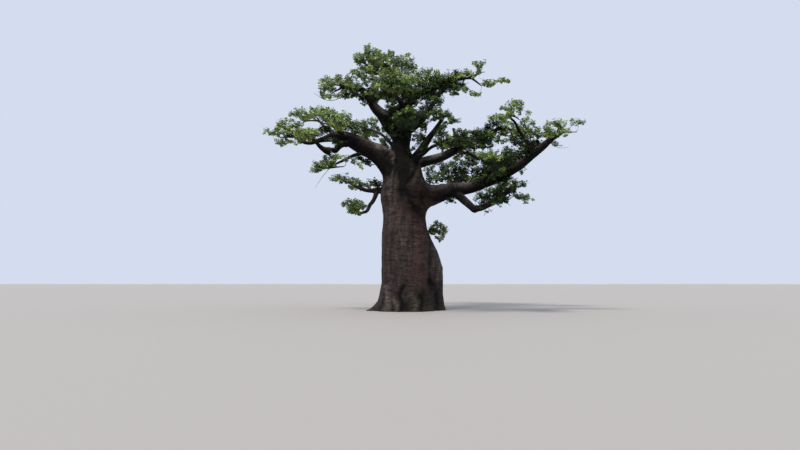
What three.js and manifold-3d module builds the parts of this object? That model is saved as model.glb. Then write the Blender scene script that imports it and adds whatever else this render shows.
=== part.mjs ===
// A baobab in leaf, about 16 m tall: a stout trunk of two fused stems, gnarled boughs and tiers of foliage.
// Millimetres, +Z up. The origin is on the level ground, in the flat cut under the trunk.
// Seen from the front, +X is to the right and +Y is away. A heading is degrees from +X to +Y.

import * as THREE from "three";
import { mergeVertices } from "three/addons/utils/BufferGeometryUtils.js";
import Module from "manifold-3d";

const wasm = await Module();
wasm.setup();

// Seams and faces
const gap = 0.3; // between a limb and what carries it
const mergeReach = 0.001;
const trunkSides = 36;
const trunkSteps = 14;
const secondSides = 16;
const secondSteps = 6;
const stoutLimb = 300; // a limb with a thicker root has more sides
const stoutSides = 8;
const slimSides = 5;
const limbStep = 950; // length of limb to each ring of faces
const twigSides = 3;
const stemSteps = 2;
const twigSteps = 1;

// The main stem: height, the middle of its width, half its width and half its depth.
const mainStem = [
  { height: 0, middle: -200, wide: 1700, deep: 1640 },
  { height: 300, middle: -170, wide: 1610, deep: 1570 },
  { height: 800, middle: -130, wide: 1510, deep: 1490 },
  { height: 1700, middle: -105, wide: 1425, deep: 1420 },
  { height: 3500, middle: -170, wide: 1385, deep: 1380 },
  { height: 5000, middle: -205, wide: 1250, deep: 1290 },
  { height: 5700, middle: -200, wide: 1200, deep: 1240 },
  { height: 6400, middle: -200, wide: 1280, deep: 1270 },
  { height: 7100, middle: -160, wide: 1350, deep: 1300 },
  { height: 7700, middle: -240, wide: 1120, deep: 1150 },
  { height: 8300, middle: -250, wide: 1040, deep: 1000 },
  { height: 8900, middle: -270, wide: 820, deep: 820 },
  { height: 9200, middle: -290, wide: 620, deep: 620 },
];

// The second stem is fused to the back right of the main one, and is lost in it higher up.
const secondStem = [
  { height: 0, middle: 1190, back: 700, wide: 970 },
  { height: 900, middle: 1130, back: 690, wide: 930 },
  { height: 2500, middle: 1080, back: 640, wide: 960 },
  { height: 3500, middle: 890, back: 560, wide: 840 },
  { height: 4300, middle: 640, back: 460, wide: 690 },
  { height: 5300, middle: 330, back: 330, wide: 590 },
];

// Shallow waves round the girth: how many, their depth as a share of the girth, and where they start.
const flutes = [
  { lobes: 5, depth: 0.022, phase: 0.6 },
  { lobes: 8, depth: 0.014, phase: 2.1 },
];

// Root toes round the foot: each swells the girth at its heading by a share of it, and dies away upwards.
const toes = [
  { heading: -172, reach: 0.34, width: 15, height: 330 },
  { heading: -128, reach: 0.17, width: 17, height: 560 },
  { heading: -96, reach: 0.15, width: 12, height: 420 },
  { heading: -62, reach: 0.19, width: 15, height: 640 },
  { heading: -28, reach: 0.16, width: 14, height: 500 },
  { heading: 18, reach: 0.2, width: 16, height: 480 },
  { heading: 66, reach: 0.17, width: 17, height: 620 },
  { heading: 104, reach: 0.22, width: 15, height: 520 },
  { heading: 147, reach: 0.18, width: 17, height: 560 },
];

// The furrow down the front of the fork, between the stems that feed the left and the right side.
const furrow = { heading: -76, width: 16, depth: 0.14, height: 8000, spread: 1100 };

// Limbs in growing order. Each starts on the middle line of what carries it, at a height in the trunk or at
// a share of the carrying limb's length, and runs and rises from there to its tip. Arch and sway bow it up
// and sideways, wander makes it gnarled, and it thins from root to tip, faster near the root where taper is
// over 1.
const limbs = [
  {
    name: "leader", on: "trunk", at: 7600, root: 700, tip: 460,
    heading: 126, run: 310, rise: 3450, wander: -50,
  },
  {
    name: "bough_left", on: "trunk", at: 7600, root: 950, tip: 120, taper: 1.5,
    heading: -162, run: 5480, rise: 2000, arch: 1150, wander: -80,
  },
  {
    name: "bough_right", on: "trunk", at: 6760, root: 1100, tip: 280, taper: 3,
    heading: -17, run: 5940, rise: 920, arch: -300, wander: 60,
  },
  {
    name: "bough_right_rise", on: "bough_right", at: 0.95, root: 290, tip: 190,
    heading: -21, run: 2620, rise: 1750, arch: -100, wander: 20,
  },
  {
    name: "bough_right_upper", on: "trunk", at: 8450, root: 420, tip: 150,
    heading: 17, run: 6150, rise: 2770, arch: -250, wander: -60,
  },
  {
    name: "bough_right_inner", on: "trunk", at: 8000, root: 520, tip: 120, taper: 1.2,
    heading: -30, run: 2620, rise: 3130, wander: -120,
  },
  {
    name: "bough_front", on: "leader", at: 0.87, root: 250, tip: 120,
    heading: -86, run: 4800, rise: -800, arch: 250, wander: 60,
  },
  {
    name: "bough_back", on: "trunk", at: 8200, root: 360, tip: 150,
    heading: 94, run: 6410, rise: 4130, arch: 800, wander: 120,
  },
  {
    name: "bough_back_left", on: "leader", at: 0.37, root: 220, tip: 90, taper: 1.5,
    heading: 117, run: 4730, rise: 2900, arch: 350, wander: -30,
  },
  {
    name: "bough_back_right", on: "bough_right", at: 0.22, root: 300, tip: 130,
    heading: 67, run: 5460, rise: 1490, arch: 100, wander: 50,
  },
  {
    name: "branch_side_left", on: "trunk", at: 7190, root: 250, tip: 150,
    heading: 174, run: 1890, rise: -90,
  },
  {
    name: "branch_low_left", on: "branch_side_left", at: 0.88, root: 150, tip: 80,
    heading: -142, run: 1090, rise: -1420, arch: -300, wander: -50,
  },
  {
    name: "fork_left", on: "leader", at: 0.82, root: 420, tip: 170,
    heading: -167, run: 2130, rise: 2400, arch: -250, wander: 60,
  },
  {
    name: "fork_crown", on: "leader", at: 0.95, root: 240, tip: 110,
    heading: 136, run: 370, rise: 3040, sway: -600, wander: 100,
  },
  {
    name: "fork_front", on: "fork_crown", at: 0.35, root: 170, tip: 100,
    heading: -101, run: 4450, rise: -430, arch: 450, wander: 60,
  },
  {
    name: "fork_back", on: "leader", at: 0.94, root: 240, tip: 100,
    heading: 88, run: 3930, rise: 2740, arch: 300, wander: 120,
  },
  {
    name: "fork_right", on: "fork_left", at: 0.53, root: 270, tip: 140,
    heading: 5, run: 4790, rise: 2480, arch: 250, wander: 40,
  },
  {
    name: "fork_right_back", on: "leader", at: 0.82, root: 360, tip: 120,
    heading: 47, run: 3740, rise: 3550, arch: -400, wander: 30,
  },
  {
    name: "limb_top_left", on: "fork_left", at: 0.94, root: 140, tip: 80,
    heading: -9, run: 910, rise: 1030, arch: 200, sway: 150, wander: 50,
  },
  {
    name: "limb_hook", on: "bough_left", at: 0.6, root: 260, tip: 150,
    heading: -128, run: 1880, rise: -1010, arch: -100, wander: 100,
  },
  {
    name: "limb_hook_rise", on: "limb_hook", at: 0.95, root: 150, tip: 80,
    heading: -141, run: 880, rise: 420, arch: -120,
  },
  {
    name: "limb_left_back", on: "bough_left", at: 0.72, root: 190, tip: 80,
    heading: 109, run: 5050, rise: 2000, arch: -100, wander: 60,
  },
  {
    name: "limb_left_up", on: "bough_left", at: 0.65, root: 150, tip: 70,
    heading: -96, run: 2970, rise: -190, wander: 40,
  },
  {
    name: "limb_left_low", on: "bough_left", at: 0.37, root: 120, tip: 45,
    heading: -156, run: 2570, rise: -1220, arch: 100, wander: 20,
  },
  {
    name: "limb_right_low", on: "bough_right", at: 0.49, root: 250, tip: 190,
    heading: -45, run: 1570, rise: -1270,
  },
  {
    name: "limb_right_low_rise", on: "limb_right_low", at: 0.95, root: 190, tip: 120,
    heading: -20, run: 2150, rise: 1080, arch: -260, wander: 30,
  },
  {
    name: "limb_right_mid", on: "bough_right", at: 0.75, root: 130, tip: 70,
    heading: -75, run: 3070, rise: 700, arch: 100, wander: 50,
  },
  {
    name: "limb_right_upright", on: "bough_right_rise", at: 0.7, root: 140, tip: 60,
    heading: 180, run: 1140, rise: 2090, arch: 200, wander: 80,
  },
  {
    name: "limb_upper_side", on: "bough_right_upper", at: 0.46, root: 140, tip: 70,
    heading: 59, run: 4300, rise: 480, arch: 300, wander: 40,
  },
  {
    name: "limb_upper_front", on: "bough_right_upper", at: 0.55, root: 100, tip: 50,
    heading: -76, run: 2370, rise: 0, arch: 50, wander: 40,
  },
  {
    name: "limb_inner_side", on: "bough_right_inner", at: 0.29, root: 130, tip: 60,
    heading: -60, run: 3510, rise: 540, arch: 50, wander: -50,
  },
];

// Masses of foliage: the limb whose tip carries each, the middle of its space, its reach each way from
// there, and how many twigs and sprays of leaves it may have.
const masses = [
  {
    name: "leaves_left_tip", on: "bough_left", twigs: 4, sprays: 20,
    middle: [-6900, -1600, 10250], reach: [1550, 1450, 800],
  },
  {
    name: "leaves_left_hook", on: "limb_hook_rise", twigs: 3, sprays: 11,
    middle: [-5340, -4000, 9590], reach: [1350, 1300, 600],
  },
  {
    name: "leaves_left_top", on: "limb_left_up", twigs: 3, sprays: 17,
    middle: [-4200, -5200, 9900], reach: [1600, 1700, 620],
  },
  {
    name: "leaves_left_back", on: "limb_left_back", twigs: 5, sprays: 26,
    middle: [-6170, 4800, 12620], reach: [2100, 2100, 850],
  },
  {
    name: "leaves_left_low", on: "limb_left_low", twigs: 3, sprays: 14,
    middle: [-4200, -2200, 8200], reach: [1750, 1150, 640],
  },
  {
    name: "leaves_side_left", on: "branch_side_left", twigs: 3, sprays: 8,
    middle: [-3540, 1200, 7760], reach: [1500, 1000, 580],
  },
  {
    name: "leaves_low_left", on: "branch_low_left", twigs: 3, sprays: 8,
    middle: [-3170, -1200, 5950], reach: [850, 800, 480],
  },
  {
    name: "leaves_crest_left", on: "fork_left", twigs: 4, sprays: 22,
    middle: [-4010, -800, 13070], reach: [1600, 1700, 850],
  },
  {
    name: "leaves_top_left", on: "limb_top_left", twigs: 3, sprays: 18,
    middle: [-2450, -1200, 14380], reach: [1100, 1400, 1250],
  },
  {
    name: "leaves_top", on: "fork_crown", twigs: 5, sprays: 30,
    middle: [-1150, 1000, 15050], reach: [1750, 2200, 1050],
  },
  {
    name: "leaves_top_front", on: "fork_front", twigs: 4, sprays: 20,
    middle: [-890, -4600, 12140], reach: [1700, 1900, 850],
  },
  {
    name: "leaves_top_back", on: "fork_back", twigs: 5, sprays: 26,
    middle: [-190, 5600, 14820], reach: [2000, 2100, 950],
  },
  {
    name: "leaves_crest_right", on: "fork_right", twigs: 5, sprays: 32,
    middle: [4000, 500, 14050], reach: [2500, 1700, 1150],
  },
  {
    name: "leaves_crest_mid", on: "fork_right_back", twigs: 4, sprays: 26,
    middle: [1450, 4400, 14950], reach: [1500, 1900, 1100],
  },
  {
    name: "leaves_inner", on: "bough_right_inner", twigs: 3, sprays: 18,
    middle: [1800, -1800, 11050], reach: [1300, 1400, 1200],
  },
  {
    name: "leaves_inner_side", on: "limb_inner_side", twigs: 3, sprays: 9,
    middle: [2400, -4800, 9250], reach: [1250, 1300, 800],
  },
  {
    name: "leaves_upper", on: "bough_right_upper", twigs: 4, sprays: 16,
    middle: [6950, 2200, 11100], reach: [1850, 1700, 920],
  },
  {
    name: "leaves_upper_side", on: "limb_upper_side", twigs: 4, sprays: 24,
    middle: [4920, 5900, 10260], reach: [1800, 1800, 800],
  },
  {
    name: "leaves_upper_front", on: "limb_upper_front", twigs: 3, sprays: 10,
    middle: [3870, -2200, 9680], reach: [1250, 1200, 620],
  },
  {
    name: "leaves_right_upright", on: "limb_right_upright", twigs: 3, sprays: 15,
    middle: [5870, -2200, 11180], reach: [1450, 1400, 900],
  },
  {
    name: "leaves_right_tip", on: "bough_right_rise", twigs: 3, sprays: 20,
    middle: [8600, -2800, 9950], reach: [1500, 1500, 800],
  },
  {
    name: "leaves_right_mid", on: "limb_right_mid", twigs: 3, sprays: 15,
    middle: [4820, -5200, 7940], reach: [1150, 1400, 750],
  },
  {
    name: "leaves_right_low", on: "limb_right_low_rise", twigs: 3, sprays: 16,
    middle: [5300, -3000, 6560], reach: [2050, 1350, 800],
  },
  {
    name: "leaves_front", on: "bough_front", twigs: 3, sprays: 15,
    middle: [150, -6100, 9850], reach: [950, 1400, 600],
  },
  {
    name: "leaves_back", on: "bough_back", twigs: 5, sprays: 26,
    middle: [-620, 7800, 13640], reach: [2200, 1900, 950],
  },
  {
    name: "leaves_back_left", on: "bough_back_left", twigs: 4, sprays: 17,
    middle: [-3250, 5800, 12110], reach: [1400, 1800, 900],
  },
  {
    name: "leaves_back_right", on: "bough_back_right", twigs: 4, sprays: 30,
    middle: [3420, 6200, 9150], reach: [2550, 1800, 1000],
  },
  {
    name: "leaves_trunk", on: "trunk", twigs: 3, sprays: 10,
    middle: [1810, 600, 4710], reach: [600, 600, 650],
  },
];

// How foliage grows inside each space
const stemShare = 0.8; // girth of a mass's stem where it leaves the limb, as a share of the limb's tip
const stemThin = 0.45; // and of that at its end
const stemBend = 0.4; // of the stem's length, along the limb's own direction
const twigRoot = 64;
const twigTip = 26;
const twigReach = 0.5; // of the space, for the ends of twigs
const goldenTurn = 137.508;
const sprayReach = 0.96; // of the space, for the ends of sprays
const sprayRoots = [1, 0.85, 0.7, 0.55, 0.4]; // shares of a twig where sprays may start
const sprayLength = 850; // sought by choosing the root
const sprayTries = 8;
const spraySunk = 8; // past the middle line of its twig
const sprayWide = 0.78; // of its length
const sprayThick = 0.3; // of its length
const sprayRoll = 75;
const limbClearance = 40;
const massClearance = 12;
const sprayClearance = 4;
const spaceMargin = 0.02;

const bark = new THREE.MeshStandardMaterial({ color: 0x64534b, roughness: 0.95, metalness: 0 });
const leaf = new THREE.MeshStandardMaterial({ color: 0x4c6b28, roughness: 0.7, metalness: 0 });
const radians = THREE.MathUtils.degToRad;
const lerp = THREE.MathUtils.lerp;
const up = new THREE.Vector3(0, 0, 1);

// A steady number from 0 to 1 for a seed and an index
function chance(seed, index) {
  const wave = Math.sin(seed * 12.9898 + index * 78.233) * 43758.5453;
  return wave - Math.floor(wave);
}

// A closed three.js shape as a solid
function solidOf(shape) {
  shape.deleteAttribute("normal");
  shape.deleteAttribute("uv");
  const merged = mergeVertices(shape, mergeReach);
  return new wasm.Manifold(
    new wasm.Mesh({
      numProp: 3,
      vertProperties: new Float32Array(merged.attributes.position.array),
      triVerts: new Uint32Array(merged.index.array),
    }),
  );
}

// The biggest of a solid's separate pieces: cutting one limb by another can leave scraps
function largest(solid) {
  const pieces = solid.decompose();
  return pieces.reduce((best, piece) => (piece.volume() > best.volume() ? piece : best));
}

function nodeOf(name, solid, material) {
  const { vertProperties, triVerts } = solid.getMesh();
  const shape = new THREE.BufferGeometry();
  shape.setAttribute("position", new THREE.BufferAttribute(vertProperties, 3));
  shape.setIndex(new THREE.BufferAttribute(triVerts, 1));
  const mesh = new THREE.Mesh(shape.toNonIndexed(), material);
  mesh.geometry.computeVertexNormals();
  mesh.name = name;
  return mesh;
}

// The sizes in a table of rows at a height between them
function sizesAt(rows, height) {
  const above = Math.max(1, rows.findIndex((row) => row.height >= height));
  const [low, high] = [rows[above - 1], rows[above]];
  const share = (height - low.height) / (high.height - low.height);
  return Object.fromEntries(Object.keys(low).map((key) => [key, lerp(low[key], high[key], share)]));
}

// A smooth bump of the given width in degrees, round one heading
function bump(heading, middle, width) {
  const apart = ((((heading - middle + 180) % 360) + 360) % 360) - 180;
  return Math.exp(-((apart / width) ** 2));
}

// How far the trunk's skin stands out at a heading and height, as a share of its plain girth
function girthWave(heading, height) {
  let wave = 1;
  for (const flute of flutes) {
    wave += flute.depth * Math.sin(flute.lobes * radians(heading) + flute.phase);
  }
  for (const toe of toes) {
    wave += toe.reach * bump(heading, toe.heading, toe.width) * Math.exp(-height / toe.height);
  }
  const level = Math.exp(-(((height - furrow.height) / furrow.spread) ** 2));
  return wave - furrow.depth * level * bump(heading, furrow.heading, furrow.width);
}

// One upright stem of the trunk, from its rows; grow makes it that much larger all round
function trunkStem(rows, sides, steps, grow) {
  const shape = new THREE.CylinderGeometry(1, 1, 1, sides, steps);
  const place = shape.attributes.position;
  const top = rows[rows.length - 1].height;
  for (let i = 0; i < place.count; i += 1) {
    const [across, along, away] = [place.getX(i), place.getY(i) + 0.5, -place.getZ(i)];
    const height = top * along;
    const { middle, back = 0, wide, deep = wide } = sizesAt(rows, height);
    const wave = girthWave(THREE.MathUtils.radToDeg(Math.atan2(away, across)), height);
    const x = middle + across * (wide * wave + grow);
    const y = back + away * (deep * wave + grow);
    place.setXYZ(i, x, y, height + grow * along);
  }
  return solidOf(shape);
}

function trunkSolid(grow) {
  const main = trunkStem(mainStem, trunkSides, trunkSteps, grow);
  return main.add(trunkStem(secondStem, secondSides, secondSteps, grow));
}

// The middle line of a limb: straight from its start to its tip, bowed and made to wander between them
class LimbCurve extends THREE.Curve {
  constructor(limb, seed, start) {
    super();
    this.limb = limb;
    this.seed = seed;
    this.start = start;
    this.along = new THREE.Vector3(1, 0, 0).applyAxisAngle(up, radians(limb.heading));
    this.side = new THREE.Vector3(-this.along.y, this.along.x, 0);
  }

  getPoint(t, target = new THREE.Vector3()) {
    const { run, rise, arch = 0, sway = 0, wander = 0 } = this.limb;
    const bow = 4 * t * (1 - t);
    const sideWave = bow * Math.sin(2 * Math.PI * (1.6 * t + chance(this.seed, 1)));
    const upWave = bow * Math.sin(2 * Math.PI * (1.9 * t + chance(this.seed, 2)));
    return target
      .copy(this.start)
      .addScaledVector(this.along, run * t)
      .addScaledVector(this.side, sway * bow + wander * sideWave)
      .addScaledVector(up, rise * t + arch * bow + wander * upWave);
  }
}

// A closed tube along a curve with flat ends: radiusAt gives its radius at each share of its length, and
// grow makes it that much larger all round
function tube(curve, radiusAt, sides, steps, grow = 0) {
  const shape = new THREE.CylinderGeometry(1, 1, 1, sides, steps);
  const frames = curve.computeFrenetFrames(steps);
  const place = shape.attributes.position;
  const point = new THREE.Vector3();
  for (let i = 0; i < place.count; i += 1) {
    const step = Math.round((place.getY(i) + 0.5) * steps);
    const radius = radiusAt(step / steps) + grow;
    curve.getPointAt(step / steps, point);
    point.addScaledVector(frames.normals[step], place.getX(i) * radius);
    point.addScaledVector(frames.binormals[step], -place.getZ(i) * radius);
    if (step === 0) point.addScaledVector(frames.tangents[step], -grow);
    if (step === steps) point.addScaledVector(frames.tangents[step], grow);
    place.setXYZ(i, point.x, point.y, point.z);
  }
  return solidOf(shape);
}

// The point at a share of a tube's length, on the straight stretch between two of its rings
function onTube(curve, steps, share) {
  const step = Math.min(Math.floor(share * steps), steps - 1);
  const from = curve.getPointAt(step / steps);
  return from.lerp(curve.getPointAt((step + 1) / steps), share * steps - step);
}

function limbSolid(limb, curve, grow) {
  const radiusAt = (share) => lerp(limb.tip, limb.root, (1 - share) ** (limb.taper ?? 1));
  const sides = limb.root > stoutLimb ? stoutSides : slimSides;
  const steps = Math.max(3, Math.round(curve.getLength() / limbStep));
  return tube(curve, radiusAt, sides, steps, grow);
}

// All limbs, each cut clear of the trunk and of the limbs before it
function growLimbs() {
  const grown = [trunkSolid(gap)];
  const made = new Map();
  limbs.forEach((limb, index) => {
    const start =
      limb.on === "trunk"
        ? new THREE.Vector3(sizesAt(mainStem, limb.at).middle, 0, limb.at)
        : made.get(limb.on).curve.getPoint(limb.at);
    const curve = new LimbCurve(limb, index + 1, start);
    const whole = limbSolid(limb, curve, 0);
    const solid = largest(grown.reduce((rest, other) => rest.subtract(other), whole));
    grown.push(limbSolid(limb, curve, gap));
    made.set(limb.name, { limb, curve, solid });
  });
  return made;
}

// How far a point lies from the middle of a mass's space: 1 at its edge
function depthIn(mass, point) {
  const [x, y, z] = mass.middle;
  const [wide, deep, tall] = mass.reach;
  return Math.hypot((point.x - x) / wide, (point.y - y) / deep, (point.z - z) / tall);
}

// Whether a point lies inside a mass's own space, and nearer to its middle than to any other's
function ownsPoint(mass, point) {
  const own = depthIn(mass, point);
  return own <= 1 && masses.every((other) => other === mass || depthIn(other, point) > own + spaceMargin);
}

// Whether a solid keeps a distance to every other solid in a list
function keepsClear(solid, others, distance) {
  const box = solid.boundingBox();
  return others.every((other) => {
    const near = [0, 1, 2].every(
      (axis) =>
        box.min[axis] < other.box.max[axis] + distance && box.max[axis] > other.box.min[axis] - distance,
    );
    return !near || solid.minGap(other.solid, distance) >= distance;
  });
}

function withBox(solid) {
  return { solid, box: solid.boundingBox() };
}

// The stem that carries a mass, from its limb's tip into the middle of its space
function stemOf(mass, grownLimbs) {
  const carrier = grownLimbs.get(mass.on);
  const middle = new THREE.Vector3(...mass.middle);
  const tip = carrier ? carrier.curve.getPoint(1) : new THREE.Vector3(0, middle.y, middle.z);
  const heading = carrier ? carrier.curve.getTangent(1) : middle.clone().sub(tip).normalize();
  const start = tip.clone().addScaledVector(heading, gap);
  const bend = start.clone().addScaledVector(heading, start.distanceTo(middle) * stemBend);
  const curve = new THREE.QuadraticBezierCurve3(start, bend, middle);
  const root = (carrier ? carrier.limb.tip : twigRoot * 2) * stemShare;
  const radiusAt = (share) => lerp(root, root * stemThin, share);
  const whole = tube(curve, radiusAt, twigSides, stemSteps);
  const solid = carrier ? whole : largest(whole.subtract(trunkSolid(gap)));
  return { curve, solid };
}

// Points spread evenly round a mass's space on a golden spiral, at a share of its reach
function spiral(mass, count, reach, seed) {
  return Array.from({ length: count }, (_, index) => {
    const rise = 1 - (2 * (index + 0.5)) / count;
    const around = radians(index * goldenTurn + 360 * chance(seed, 3));
    const out = Math.sqrt(1 - rise * rise);
    const facing = new THREE.Vector3(out * Math.cos(around), out * Math.sin(around), rise);
    return facing.multiply(new THREE.Vector3(...mass.reach)).multiplyScalar(reach).add(middleOf(mass));
  });
}

function middleOf(mass) {
  return new THREE.Vector3(...mass.middle);
}

// The twigs of a mass, each a straight line from the place on the stem that faces its end
function twigsOf(mass, seed, stem) {
  const stemHeading = stem.curve.getTangent(0.5);
  return spiral(mass, mass.twigs, twigReach, seed).map((end) => {
    const facing = end.clone().sub(middleOf(mass)).normalize();
    const share = THREE.MathUtils.clamp(0.6 + 0.45 * facing.dot(stemHeading), 0.3, 0.98);
    return new THREE.LineCurve3(onTube(stem.curve, stemSteps, share), end);
  });
}

// A spray of leaves as a flattened octahedron, from a root sunk into its twig to an end, rolled about its
// length
function sprayShape(root, end, roll) {
  const along = end.clone().sub(root);
  const length = along.length() + spraySunk;
  const shape = new THREE.OctahedronGeometry(0.5);
  shape.translate(0.5, 0, 0);
  shape.scale(length, length * sprayWide, length * sprayThick);
  shape.translate(-spraySunk, 0, 0);
  shape.rotateX(radians(roll));
  shape.rotateY(-Math.atan2(along.z, Math.hypot(along.x, along.y)));
  shape.rotateZ(Math.atan2(along.y, along.x));
  shape.translate(root.x, root.y, root.z);
  return shape;
}

function cornersOf(shape) {
  const places = shape.attributes.position;
  const corner = (_, index) => new THREE.Vector3().fromBufferAttribute(places, index);
  return Array.from({ length: places.count }, corner);
}

// A mass of foliage: its stem with twigs and sprays fused on, leaving out what would leave its space or
// touch a limb or another mass. A spray may start from a few places on the twigs, and takes the first
// that fits.
function growMass(mass, seed, stem, limbBoxes, massBoxes) {
  const clear = (solid) =>
    keepsClear(solid, limbBoxes, limbClearance) && keepsClear(solid, massBoxes, massClearance);
  const grown = twigsOf(mass, seed, stem)
    .map((twig) => ({
      twig,
      ...withBox(tube(twig, (share) => lerp(twigRoot, twigTip, share), twigSides, twigSteps)),
    }))
    .filter(({ solid }) => clear(solid));
  const roots = grown.flatMap((own) =>
    sprayRoots.map((share) => ({
      point: own.twig.getPoint(share),
      others: [withBox(stem.solid), ...grown.filter((other) => other !== own)],
    })),
  );
  const parts = [stem.solid, ...grown.map(({ solid }) => solid)];
  const blades = [];
  spiral(mass, mass.sprays, sprayReach, seed + 50).forEach((end, index) => {
    const misfit = (root) => Math.abs(root.point.distanceTo(end) - sprayLength);
    const choices = [...roots].sort((a, b) => misfit(a) - misfit(b)).slice(0, sprayTries);
    for (const { point, others } of choices) {
      const shape = sprayShape(point, end, lerp(-sprayRoll, sprayRoll, chance(seed, 10 + index)));
      if (!cornersOf(shape).every((corner) => ownsPoint(mass, corner))) continue;
      const blade = solidOf(shape);
      if (!clear(blade) || !keepsClear(blade, [...blades, ...others], sprayClearance)) continue;
      blades.push(withBox(blade));
      parts.push(blade);
      return;
    }
  });
  return largest(wasm.Manifold.union(parts));
}

const tree = new THREE.Group();
tree.add(nodeOf("trunk", trunkSolid(0), bark));
const grownLimbs = growLimbs();
for (const { limb, solid } of grownLimbs.values()) {
  tree.add(nodeOf(limb.name, solid, bark));
}
const woodBoxes = [trunkSolid(0), ...Array.from(grownLimbs.values(), ({ solid }) => solid)].map(withBox);
const stems = masses.map((mass) => stemOf(mass, grownLimbs));
const stemBoxes = stems.map((stem) => withBox(stem.solid));
const massBoxes = [];
masses.forEach((mass, index) => {
  const otherStems = stemBoxes.filter((_, other) => other !== index);
  const solid = growMass(mass, index + 101, stems[index], woodBoxes, [...massBoxes, ...otherStems]);
  massBoxes.push(withBox(solid));
  tree.add(nodeOf(mass.name, solid, leaf));
});

export default tree;
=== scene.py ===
import bmesh
import bpy
import numpy as np
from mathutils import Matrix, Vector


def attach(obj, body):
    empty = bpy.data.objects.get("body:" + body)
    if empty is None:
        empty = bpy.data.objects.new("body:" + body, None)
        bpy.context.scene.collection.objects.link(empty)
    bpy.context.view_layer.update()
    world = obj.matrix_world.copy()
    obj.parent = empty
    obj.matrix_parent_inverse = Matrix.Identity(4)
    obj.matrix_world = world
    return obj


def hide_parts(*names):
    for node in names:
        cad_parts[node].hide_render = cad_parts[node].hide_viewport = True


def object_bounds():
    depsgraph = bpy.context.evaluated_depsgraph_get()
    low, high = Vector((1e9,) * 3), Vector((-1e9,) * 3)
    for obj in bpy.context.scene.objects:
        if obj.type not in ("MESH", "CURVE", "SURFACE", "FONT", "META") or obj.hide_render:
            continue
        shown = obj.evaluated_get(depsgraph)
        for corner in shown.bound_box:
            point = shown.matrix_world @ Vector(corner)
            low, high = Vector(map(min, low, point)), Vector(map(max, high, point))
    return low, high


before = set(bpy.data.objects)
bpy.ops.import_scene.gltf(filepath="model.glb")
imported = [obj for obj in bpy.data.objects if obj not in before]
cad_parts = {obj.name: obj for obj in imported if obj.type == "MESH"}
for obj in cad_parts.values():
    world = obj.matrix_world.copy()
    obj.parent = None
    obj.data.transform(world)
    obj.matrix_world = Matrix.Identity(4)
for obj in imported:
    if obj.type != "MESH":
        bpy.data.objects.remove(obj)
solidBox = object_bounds()
print("frame loaded,", len(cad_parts), "nodes")

# the camera stands where the photo was taken, 37 m from the trunk at eye height
view = dict(place=(-0.47, -37.0, 1.6), pitch=5.28, focal=628, photoWidth=800, photoHeight=450, sensor=36)


# an object for a mesh, lamp or camera, put into the scene
def placed(name, data):
    made = bpy.data.objects.new(name, data)
    bpy.context.collection.objects.link(made)
    return made


# a new material, with its node tree and its shader
def newPaint(name):
    paint = bpy.data.materials.new(name)
    paint.use_nodes = True
    return paint, paint.node_tree, paint.node_tree.nodes["Principled BSDF"]


def addCamera():
    lens = bpy.data.cameras.new("camera")
    lens.sensor_width = view["sensor"]
    lens.lens = view["focal"] / view["photoWidth"] * view["sensor"]
    camera = placed("camera", lens)
    camera.location = view["place"]
    camera.rotation_euler = (np.radians(90 + view["pitch"]), 0, 0)
    bpy.context.scene.camera = camera


# where points fall in the photo, across and down in its pixels
def inPhoto(points):
    away = points - view["place"]
    pitch = np.radians(view["pitch"])
    depth = away[:, 1] * np.cos(pitch) + away[:, 2] * np.sin(pitch)
    rise = away[:, 2] * np.cos(pitch) - away[:, 1] * np.sin(pitch)
    return (view["photoWidth"] / 2 + view["focal"] * away[:, 0] / depth,
        view["photoHeight"] / 2 - view["focal"] * rise / depth)


# the points seen at places in the photo, at a given distance along Y
def behindPhoto(spots, back):
    across, down = np.array(spots, float).T
    pitch = np.radians(view["pitch"])
    right = (across - view["photoWidth"] / 2) / view["focal"]
    up = (view["photoHeight"] / 2 - down) / view["focal"]
    ray = np.stack([right, np.cos(pitch) - up * np.sin(pitch), np.sin(pitch) + up * np.cos(pitch)], 1)
    return view["place"] + ray * ((back - view["place"][1]) / ray[:, 1])[:, None]


# one node of a material; an input may be a value or another node's socket
def addNode(tree, kind, inputs=None, **settings):
    made = tree.nodes.new(kind)
    for key, value in settings.items():
        setattr(made, key, value)
    for key, value in (inputs or {}).items():
        if isinstance(value, bpy.types.NodeSocket):
            tree.links.new(value, made.inputs[key])
        else:
            made.inputs[key].default_value = value
    return made


studio = dict(
    sky=(0.76, 0.84, 1.0, 1), skyStrength=0.86,
    sun=2.6, sunAngle=14, sunTurn=(26, -22, 0), sunColour=(1.0, 0.96, 0.88),
    floor=(0.40, 0.37, 0.345, 1), floorReach=900, floorRoughness=0.9,
)


# a pale floor, an even pale sky and one broad soft light from high on the left
def addStudio():
    world = bpy.data.worlds.new("studio")
    world.use_nodes = True
    sky = world.node_tree.nodes["Background"]
    sky.inputs["Color"].default_value = studio["sky"]
    sky.inputs["Strength"].default_value = studio["skyStrength"]
    bpy.context.scene.world = world
    lamp = bpy.data.lights.new("sun", "SUN")
    lamp.energy = studio["sun"]
    lamp.angle = np.radians(studio["sunAngle"])
    lamp.color = studio["sunColour"]
    placed("sun", lamp).rotation_euler = np.radians(studio["sunTurn"])
    reach = studio["floorReach"]
    mesh = bpy.data.meshes.new("floor")
    mesh.from_pydata([(-reach, -reach, 0), (reach, -reach, 0), (reach, reach, 0), (-reach, reach, 0)],
        [], [(0, 1, 2, 3)])
    paint, _, shader = newPaint("floor")
    shader.inputs["Base Color"].default_value = studio["floor"]
    shader.inputs["Roughness"].default_value = studio["floorRoughness"]
    mesh.materials.append(paint)
    floor = placed("floor", mesh)


addCamera()
addStudio()
bpy.context.scene.view_settings.view_transform = "Standard"
print("camera, light and floor placed")

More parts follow.
